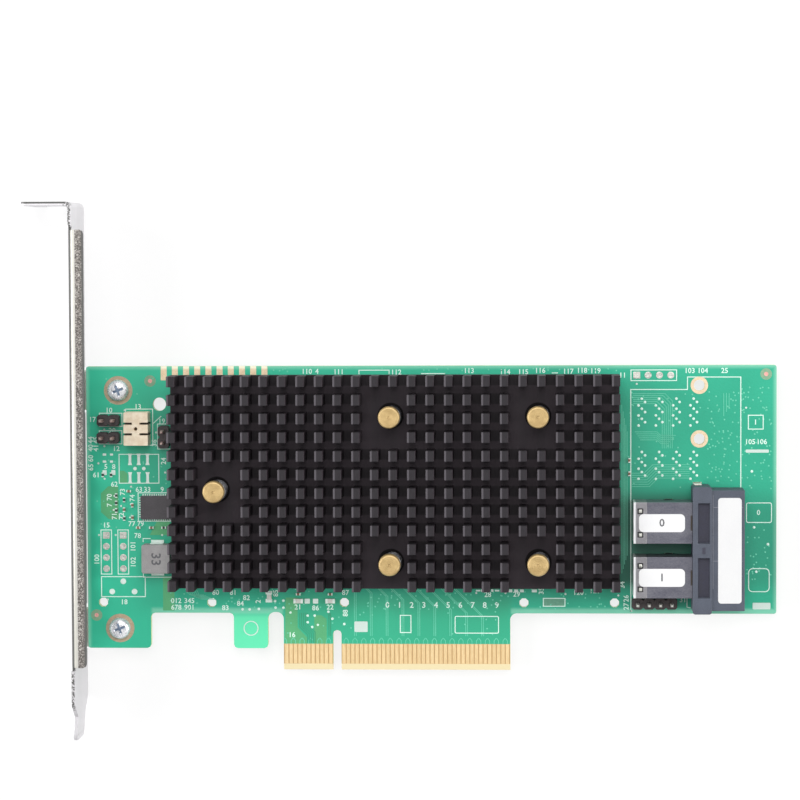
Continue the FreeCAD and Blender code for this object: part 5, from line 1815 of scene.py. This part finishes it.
@dataclass
class CoolingStack(SubAssembly):
    """The pin-fin heatsink, its spring-loaded brass pins and what lies under it."""

    pins: tuple[str, ...] = ("upper_left", "upper_right", "lower_left", "lower_right", "outer")
    shank: float = 1.45
    barb: float = 1.95
    tip: float = 1.0
    head_height: float = 1.9
    head_chamfer: float = 0.12
    hole_radius: float = 2.95
    hole_gap: float = 0.3
    base_top: float = 4.9
    grooves: tuple[float, ...] = (1.85, 1.45, 1.05, 0.65)
    groove_depth: float = 0.05
    wire: float = 0.28
    wire_sides: int = 8
    coil_turns: float = 4.5
    coil_steps: int = 20

    def build(self) -> None:
        """Builds the cooling pieces."""
        self.dress(Paint.SINK, "heatsink")
        self.soften("heatsink", 0.1, 1)
        self.dress(Paint.LAMINATE, "controller_substrate")
        self.dress(Paint.LID, "controller_lid", "clock_crystal")
        self.dress(Paint.PAD, "thermal_pad")
        self.dress(Paint.CHIP, "firmware_flash")
        for name in self.pins:
            self.pin(name)
            self.spring(name)
        self.holes()

    def holes(self) -> None:
        """Rings each pin with the shade of its counterbore in the heatsink's base."""
        profile = [(self.hole_radius, self.base_top - 0.02), (self.hole_radius, self.base_top + 0.02)]
        width = self.hole_radius - self.shank - self.hole_gap
        discs = [Bench.turned(middle(f"heatsink_pin_{name}"), profile, 32) for name in self.pins]
        rings = [Bench.pierce(disc, width) for disc in discs]
        self.show(Bench.join(rings), "pin_counterbores", Paint.HOLLOW)

    def pin(self, name: str) -> None:
        """Turns a brass push pin with a grooved head and a barb below the board.

        Args:
            name: the pin's place on the heatsink.
        """
        node = f"heatsink_pin_{name}"
        low, high = boundary(node)
        head, base, top = (high.x - low.x) / 2, low.z, high.z
        under = top - self.head_height
        profile = [
            (self.tip, base), (self.barb, base + 0.9), (self.barb, base + 1.1), (self.shank, base + 1.25),
            (self.shank, under), (head - self.head_chamfer, under), (head, under + self.head_chamfer),
            (head, top - 0.42), (head - 0.2, top - 0.06), (head - 0.3, top),
        ]
        for radius in self.grooves:
            profile += [(radius, top), (radius - 0.06, top - self.groove_depth), (radius - 0.12, top)]
        profile += [(0.32, top), (0.22, top - 0.18), (0.1, top - 0.22)]
        self.show(Bench.turned(middle(node), profile, 40), f"brass_pin_{name}", Paint.BRASS, [node])

    def spring(self, name: str) -> None:
        """Winds a coil spring round a pin's shank.

        Args:
            name: the pin's place on the heatsink.
        """
        node = f"pin_spring_{name}"
        low, high = boundary(node)
        radius = (high.x - low.x) / 2 - self.wire
        Bench.take()
        bpy.ops.mesh.primitive_circle_add(
            vertices=self.wire_sides, radius=self.wire * MM, location=mm(radius, 0, 0),
            rotation=(math.radians(90), 0, 0),
        )
        coil = Bench.settle(bpy.context.object)
        screw = coil.modifiers.new("coil", "SCREW")
        screw.axis = "Z"
        screw.angle = math.tau * self.coil_turns
        screw.screw_offset = (high.z - low.z - 2 * self.wire) * MM
        screw.steps = int(self.coil_steps * self.coil_turns)
        screw.render_steps = screw.steps
        bpy.ops.object.modifier_apply(modifier=screw.name)
        Bench.edit(coil)
        bpy.ops.mesh.select_all(action="DESELECT")
        bpy.ops.mesh.select_mode(type="EDGE")
        bpy.ops.mesh.select_non_manifold()
        bpy.ops.mesh.edge_face_add()
        Bench.mend()
        coil.data.transform(Bench.shift(*middle(node), low.z + self.wire))
        self.show(coil, f"coil_spring_{name}", Paint.SPRING, [node])


@dataclass
class Bracket(SubAssembly):
    """The slot bracket and the two screws that hold it."""

    cross_reach: float = 1.45
    cross_width: float = 0.62
    cross_depth: float = 0.9
    cross_turns: tuple[float, float] = (20.0, 110.0)
    thread: float = 1.45
    floor_radii: Point = (1.2, 1.1)
    floor_film: float = 0.03

    def build(self) -> None:
        """Dresses the bracket and makes its screws."""
        self.dress(Paint.BRACKET, "bracket")
        self.soften("bracket", 0.1, 2)
        for name in ("lower", "upper"):
            self.screw(name)

    def screw(self, name: str) -> None:
        """Makes a pan head screw with a cross recess.

        Args:
            name: which of the bracket's two screws it is.
        """
        node = f"bracket_screw_{name}"
        low, high = boundary(node)
        centre = middle(node)
        head = (high.x - low.x) / 2
        profile = [
            (1.2, low.z), (self.thread, low.z + 0.25), (self.thread, 0.0), (head - 0.05, 0.0), (head, 0.35),
            (head - 0.1, 1.0), (head - 0.45, 1.5), (head - 1.0, high.z - 0.05), (0.8, high.z),
        ]
        body = Bench.turned(centre, profile, 48)
        bottom = high.z - self.cross_depth
        for turn in self.cross_turns:
            reach = Vector((self.cross_reach, self.cross_width / 2, 0.0))
            arm = Bench.block(-reach, reach + Vector((0.0, 0.0, 2.0)), 0.12)
            arm.data.transform(Bench.shift(*centre, bottom, turn))
            cut = body.modifiers.new("recess", "BOOLEAN")
            cut.operation = "DIFFERENCE"
            cut.object = arm
            cut.solver = "EXACT"
            Bench.take(body)
            bpy.ops.object.modifier_apply(modifier=cut.name)
            bpy.data.objects.remove(arm)
        self.show(body, f"pan_screw_{name}", Paint.SCREW, [node])
        profile = [(self.floor_radii[0], bottom), (self.floor_radii[1], bottom + self.floor_film)]
        self.show(Bench.turned(centre, profile, 20), f"recess_floor_{name}", Paint.RECESS)


@dataclass
class TwinPort(SubAssembly):
    """The two internal cable ports and the guide in front of them.

    A margin is how far a detail stays inside its piece on the left, on the right and at both sides.
    """

    blades: int = 9
    blade_pitch: float = 0.75
    blade_width: float = 0.32
    blade_length: float = 4.6
    blade_reach: float = 5.6
    blade_thick: float = 0.12
    blade_levels: tuple[float, ...] = (3.0, 3.98, 5.6, 6.58)
    port_sticker_radius: float = 1.0
    guide_sticker_radius: float = 0.7
    digit_height: float = 1.7
    rim_margin: Shade = (0.55, 0.2, 0.45)
    window_offset: float = 1.55
    window_inset: float = 1.95
    window_half: float = 0.36
    slit_margin: Point = (0.45, 0.05)
    slit_half: float = 1.7
    witness_start: float = 84.25
    witness_lines: tuple[float, float] = (37.6, 25.64)
    witness_side: float = 84.3
    witness_reaches: tuple[tuple[int, float], ...] = ((1, 5.6), (0, 2.8))
    witness_drop: float = 6.2
    pocket_span: Point = (81.05, 83.5)
    pocket_half: float = 4.35
    pocket_depths: Point = (1.12, 1.06)
    notch_span: Point = (81.9, 82.6)
    notch_half: float = 0.75

    def build(self) -> None:
        """Builds the port pieces."""
        self.dress(Paint.GUIDE, "port_guide")
        self.soften("port_guide", 0.12, 2)
        self.dress(Paint.CLIP, "guide_clips")
        for place, digit in (("lower", "1"), ("upper", "0")):
            self.dress(Paint.SHELL, f"port_shell_{place}")
            self.dress(Paint.CAP, f"port_cap_{place}")
            self.soften(f"port_shell_{place}", 0.08, 2)
            self.soften(f"port_cap_{place}", 0.08, 2)
            self.dress(Paint.INSERT, f"port_insert_{place}")
            self.contacts(place)
            node = f"port_sticker_{place}"
            self.sticker(node, f"port_label_{place}", self.port_sticker_radius, Paint.STICKER)
            mark = Bench.numeral(digit, middle(node), self.digit_height, boundary(node)[1].z)
            self.show(mark, f"port_number_{place}", Paint.INK)
            self.cap_details(place)
        self.sticker("guide_sticker", "guide_label", self.guide_sticker_radius, Paint.LABEL)
        self.guide_details()

    def cap_details(self, place: str) -> None:
        """Raises the pressed line round a cap, fills its two windows and lays a dark plate of painted shade
        in the slit beside the guide.

        Args:
            place: lower or upper.
        """
        low, high = boundary(f"port_cap_{place}")
        left, right, side = self.rim_margin
        rim_low = Vector((low.x + left, low.y + side, high.z - 0.02))
        rim_high = Vector((high.x - right, high.y - side, high.z + 0.03))
        self.show(Bench.pierce(Bench.plate(rim_low, rim_high, 0.3, 3), 0.12), f"cap_rim_{place}", Paint.CAP)
        tabs = []
        half = self.window_half
        for y in (low.y + self.window_inset, high.y - self.window_inset):
            centre = Vector((low.x + self.window_offset, y, high.z))
            corners = centre - Vector((half, half, 0.5)), centre + Vector((half, half, -0.03))
            tabs.append(Bench.block(*corners, 0.08))
        self.show(Bench.join(tabs), f"cap_tabs_{place}", Paint.TIN)
        shell = f"port_shell_{place}"
        corner = boundary(shell)[1]
        x_span = [corner.x - margin for margin in self.slit_margin]
        # painted shade: a dark plate in the slit beside the guide
        slit = self.strip(x_span, middle(shell)[1], self.slit_half, (corner.z - 0.01, corner.z + 0.015))
        self.show(slit, f"shell_slit_shade_{place}", Paint.DULL_TIN)

    def strip(
        self, x_span: Sequence[float], y: float, half: float, levels: Sequence[float], radius: float = 0.1,
    ) -> Piece:
        """Makes a thin plate that lies across the ports.

        Args:
            x_span: its left and right edges.
            y: its middle, up the card.
            half: half its length, up the card.
            levels: heights of its underside and its top.
            radius: its corners' radius.

        Returns:
            The plate.
        """
        (left, right), (under, top) = x_span, levels
        return Bench.plate(Vector((left, y - half, under)), Vector((right, y + half, top)), radius, 2)

    def guide_details(self) -> None:
        """Draws the guide's witness lines and shades its latch pockets."""
        high = boundary("port_guide")[1]
        front = boundary("guide_sticker")[0].z
        paths = [[(self.witness_start, y), (high.x - 0.4, y)] for y in self.witness_lines]
        for index, reach in self.witness_reaches:
            y = self.witness_lines[index]
            paths.append([(self.witness_side, y - self.witness_drop), (self.witness_side, y + reach)])
        self.show(Bench.tracks(paths, 0.12, front - 0.02, 0.04), "guide_lines", Paint.GUIDE_LINE)
        levels = [high.z - depth for depth in self.pocket_depths]
        floors = [
            self.strip(self.pocket_span, middle(f"port_shell_{place}")[1], self.pocket_half, levels)
            for place in ("lower", "upper")
        ]
        levels = (high.z - 0.02, high.z + 0.015)
        floors.append(self.strip(self.notch_span, middle("port_guide")[1], self.notch_half, levels, 0.15))
        self.show(Bench.join(floors), "guide_pockets", Paint.GUIDE_SHADE)

    def sticker(self, node: str, name: str, radius: float, paper: Finish) -> None:
        """Makes a paper label with rounded corners in place of its CAD plate."""
        low, high = boundary(node)
        self.show(Bench.plate(low, high, radius, 6), name, paper, [node])

    def contacts(self, place: str) -> None:
        """Lays the contact blades along the floor and roof of each slot in a port's insert.

        Args:
            place: lower or upper.
        """
        node = f"port_insert_{place}"
        start = boundary(node)[1].x - self.blade_reach
        first = middle(node)[1] - (self.blades - 1) / 2 * self.blade_pitch
        half = Vector((0.0, self.blade_width / 2, 0.0))
        blade = Bench.block(-half, half + Vector((self.blade_length, 0.0, self.blade_thick)), 0.03, 1)
        moves = [
            Bench.shift(start, first + index * self.blade_pitch, level)
            for level in self.blade_levels for index in range(self.blades)
        ]
        self.show(Bench.repeat(blade, moves), f"port_blades_{place}", Paint.GOLD)


@dataclass
class SmallParts(SubAssembly):
    """The headers, the cream socket, the power parts and the chips."""

    pin_tip: float = 0.3
    terminal_share: float = 0.24
    terminal_skin: Shade = (0.025, 0.025, 0.02)
    rear_below: float = -1.0
    inductor_digits: float = 2.1
    lead_size: Shade = (0.26, 0.5, 0.22)
    lead_inset: float = 0.5
    lead_reach: float = 0.15
    leads_along: int = 13
    leads_up: int = 9

    def build(self) -> None:
        """Dresses the small parts and adds their terminals."""
        for name in HEADERS:
            self.dress(Paint.MOULDING, f"{name}_header_body")
            self.soften(f"{name}_header_body", 0.08, 1)
            self.pins(name)
        self.dress(Paint.CREAM, "cream_socket")
        self.soften("cream_socket", 0.12, 2)
        # painted shade: the socket's contacts are dark inside its slits
        self.dress(Paint.DULL_TIN, "cream_socket_contacts")
        self.dress(Paint.PALE_TIN, "power_inductor_straps")
        self.dress(Paint.CHIP, "regulator_chip")
        core = "power_inductor_core"
        self.dress(Paint.CORE, core)
        self.soften(core, 0.12, 2)
        mark = Bench.numeral("33", middle(core), self.inductor_digits, boundary(core)[1].z, -90.0)
        self.show(mark, "inductor_number", Paint.INK)
        self.dress(Paint.CERAMIC, "chip_capacitors", "rear_capacitors")
        self.dress(Paint.RESISTOR, "chip_resistors")
        self.dress(Paint.FUSE, "chip_fuses")
        for node in ("chip_capacitors", "chip_resistors", "chip_fuses", "rear_capacitors"):
            self.terminals(node)
        self.regulator_pads()

    def pins(self, name: str) -> None:
        """Makes a header's pins, tapered at both ends.

        Args:
            name: the header.
        """
        pieces = []
        node = f"{name}_header_pins"
        tip = Vector((0.0, 0.0, self.pin_tip))
        for low, high in Bench.parts(node):
            pin = Bench.block(low + tip, high - tip)
            centre = (low + high) / 2
            Bench.edit(pin)
            for way, level in ((1, high.z), (-1, low.z)):
                Bench.pick(pin, lambda face, way=way: face.normal.z * way > 0.9)
                bpy.ops.mesh.extrude_region_move(TRANSFORM_OT_translate={"value": way * tip * MM})
                bpy.ops.transform.resize(value=(0.5, 0.5, 1.0), center_override=mm(centre.x, centre.y, level))
            Bench.close()
            pieces.append(pin)
        finish = Paint.TIN if name == "console" else Paint.PIN
        self.show(Bench.join(pieces), f"{name}_square_pins", finish, [node])

    def terminals(self, node: str) -> None:
        """Caps both ends of each chip in a node with tinned terminals.

        Args:
            node: the chips' CAD node.
        """
        pieces = []
        skin = Vector(self.terminal_skin)
        for low, high in Bench.parts(node):
            axis = 0 if high.x - low.x > high.y - low.y else 1
            length = (high[axis] - low[axis]) * self.terminal_share
            for end in (0, 1):
                near, far = low - skin, high + skin
                if low.z < self.rear_below:
                    far.z = high.z
                else:
                    near.z = low.z
                if end:
                    near[axis] = high[axis] - length
                else:
                    far[axis] = low[axis] + length
                pieces.append(Bench.block(near, far, 0.04, 1))
        self.show(Bench.join(pieces), f"{node}_terminals", Paint.PALE_TIN)

    def regulator_pads(self) -> None:
        """Fringes the regulator with its leads."""
        low, high = boundary("regulator_chip")
        width, length, thick = self.lead_size
        half = Vector((width / 2, length / 2, 0.0))
        lead = Bench.block(-half, half + Vector((0.0, 0.0, thick)), 0.04, 1)
        inset, reach = self.lead_inset, self.lead_reach
        moves = []
        for index in range(self.leads_along):
            x = low.x + inset + index * (high.x - low.x - 2 * inset) / (self.leads_along - 1)
            moves += [Bench.shift(x, low.y - reach), Bench.shift(x, high.y + reach)]
        for index in range(self.leads_up):
            y = low.y + inset + index * (high.y - low.y - 2 * inset) / (self.leads_up - 1)
            moves += [Bench.shift(low.x - reach, y, 0.0, 90), Bench.shift(high.x + reach, y, 0.0, 90)]
        self.show(Bench.repeat(lead, moves), "regulator_leads", Paint.PALE_TIN)


@dataclass
class Underside(SubAssembly):
    """The solder joints that hold the through-hole pieces from behind.

    A joint's profile is its radii and how far each lies below the board's rear face.
    """

    pin_joint: Path = ((0.5, 0.62), (0.62, 0.35), (0.85, 0.06), (0.85, 0.0))
    leg_joint: Path = ((0.6, 0.75), (0.85, 0.45), (1.15, 0.06), (1.15, 0.0))
    leg_inset: float = 0.2

    def build(self) -> None:
        """Puts a solder cone round every pin and leg."""
        joints = []
        for name in HEADERS:
            for low, high in Bench.parts(f"{name}_header_pins"):
                joints.append(self.joint(((low.x + high.x) / 2, (low.y + high.y) / 2), self.pin_joint, 20))
        for place in ("lower", "upper"):
            shell = f"port_shell_{place}"
            low, high = boundary(shell)
            for y in (low.y + self.leg_inset, high.y - self.leg_inset):
                joints.append(self.joint((middle(shell)[0], y), self.leg_joint, 24))
        self.show(Bench.join(joints), "solder_joints", Paint.TIN)

    def joint(self, centre: Point, profile: Path, sides: int) -> Piece:
        """Makes one solder cone.

        Args:
            centre: its axis.
            profile: its radii and depths.
            sides: faces round it.

        Returns:
            The cone.
        """
        return Bench.turned(centre, [(radius, BOARD_LOW.z - depth) for radius, depth in profile], sides)


@dataclass(frozen=True)
class Softbox:
    """A square soft lamp: where it hangs, in metres, and its power in watts."""

    name: str
    place: Shade
    power: float
    size: float = 0.8


@dataclass
class Studio:
    """The floor, the soft light and the camera."""

    pivot: Shade = (23.25, 40.0, 0.0)
    offset: Shade = (8.89, -21.12, -676.7)
    tilt: Shade = (2.72, -2.91, 0.1)
    lens: float = 135.0
    sensor: float = 36.0
    nearest: float = 0.01
    ambient: float = 0.34
    floor_reach: float = 1.6
    floor_gap: float = 0.02
    floor_share: float = 0.78
    floor_tones: Point = (0.97, 0.985)
    floor_roughness: float = 0.9
    lamps: tuple[Softbox, ...] = (
        Softbox("left_softbox", (-1.0, 0.12, 0.5), 12.2),
        Softbox("right_softbox", (1.05, 0.08, 0.5), 8.3),
        Softbox("top_softbox", (0.05, 0.6, 1.1), 7.2),
    )

    def build(self) -> None:
        """Sets up the studio."""
        bpy.context.scene.view_settings.view_transform = "Standard"
        self.world()
        self.floor()
        for lamp in self.lamps:
            self.light(lamp)
        self.camera()

    def seen(self, graph: Graph) -> Socket:
        """Tells the rays that see the white studio itself from those that light the card.

        Args:
            graph: the graph to add to.

        Returns:
            A socket that is 1 for rays that see the studio.
        """
        path = graph.add("ShaderNodeLightPath")
        rays = graph.most(path.outputs["Is Camera Ray"], path.outputs["Is Glossy Ray"])
        return graph.most(rays, path.outputs["Is Transmission Ray"])

    def world(self) -> None:
        """Lights the object from all round, with white behind it."""
        world = bpy.data.worlds.new("studio_white")
        bpy.context.scene.world = world
        world.use_nodes = True
        graph = Graph(world.node_tree)
        back = graph.add("ShaderNodeBackground")
        graph.feed(back.inputs["Color"], (1.0, 1.0, 1.0, 1.0))
        lift = graph.maths("MULTIPLY_ADD", self.seen(graph), 1.0 - self.ambient, self.ambient)
        graph.feed(back.inputs["Strength"], lift)
        output = graph.add("ShaderNodeOutputWorld")
        graph.feed(output.inputs["Surface"], back.outputs[0])

    def floor(self) -> None:
        """Lays the pale floor just under the card. It looks nearly white and keeps a light shadow."""
        Bench.take()
        level = cad_low.z - self.floor_gap * MM
        bpy.ops.mesh.primitive_plane_add(size=2 * self.floor_reach, location=(0, 0, level))
        floor = Bench.settle(bpy.context.object)
        Bench.edit(floor)
        bpy.ops.mesh.subdivide(number_cuts=4)
        Bench.close()
        floor.name = "studio_floor"
        made = bpy.data.materials.new("studio_floor_white")
        made.use_nodes = True
        graph = Graph(made.node_tree)
        noise = graph.add("ShaderNodeTexNoise")
        seat = graph.add("ShaderNodeTexCoord")
        graph.feed(noise.inputs["Vector"], seat.outputs["Object"])
        graph.feed(noise.inputs["Scale"], 3.0)
        shader = graph.add("ShaderNodeBsdfPrincipled")
        dim, bright = ((tone, tone, tone, 1.0) for tone in self.floor_tones)
        graph.feed(shader.inputs["Base Color"], graph.mix(noise.outputs[0], dim, bright))
        graph.feed(shader.inputs["Roughness"], self.floor_roughness)
        white = graph.add("ShaderNodeEmission")
        graph.feed(white.inputs["Strength"], 1.0)
        share = graph.add("ShaderNodeMixShader")
        graph.feed(share.inputs[0], graph.times(self.seen(graph), self.floor_share))
        graph.feed(share.inputs[1], shader.outputs[0])
        graph.feed(share.inputs[2], white.outputs[0])
        output = graph.add("ShaderNodeOutputMaterial")
        graph.feed(output.inputs["Surface"], share.outputs[0])
        floor.data.materials.append(made)

    def light(self, lamp: Softbox) -> None:
        """Hangs a softbox that faces the card.

        Args:
            lamp: the softbox.
        """
        data = bpy.data.lights.new(lamp.name, "AREA")
        data.size = lamp.size
        data.energy = lamp.power
        holder = bpy.data.objects.new(lamp.name, data)
        bpy.context.scene.collection.objects.link(holder)
        holder.location = lamp.place
        aim = Vector(self.pivot) * MM - Vector(lamp.place)
        holder.rotation_euler = aim.to_track_quat("-Z", "Y").to_euler()

    def camera(self) -> None:
        """Sets the camera above the card."""
        lens = bpy.data.cameras.new("overhead_camera")
        lens.lens = self.lens
        lens.sensor_width = self.sensor
        lens.clip_start = self.nearest
        camera = bpy.data.objects.new("overhead_camera", lens)
        bpy.context.scene.collection.objects.link(camera)
        turn_x, turn_y, turn_z = (math.radians(angle) for angle in self.tilt)
        tip, roll, spin = (
            Matrix.Rotation(turn, 3, axis) for turn, axis in ((turn_x, "X"), (turn_y, "Y"), (turn_z, "Z"))
        )
        back = (spin @ roll @ tip).transposed()
        spot = mm(*self.pivot) - back @ mm(*self.offset)
        camera.matrix_world = Matrix.Translation(spot) @ back.to_4x4()
        bpy.context.scene.camera = camera


def main() -> None:
    """Builds every sub-assembly in order."""
    logging.basicConfig(level=logging.INFO, format="%(name)s: %(message)s")
    groups = (Studio(), Board(), Legend(), CoolingStack(), Bracket(), TwinPort(), SmallParts(), Underside())
    for group in groups:
        LOG.info("building %s", type(group).__name__)
        group.build()


if __name__ == "__main__":
    main()
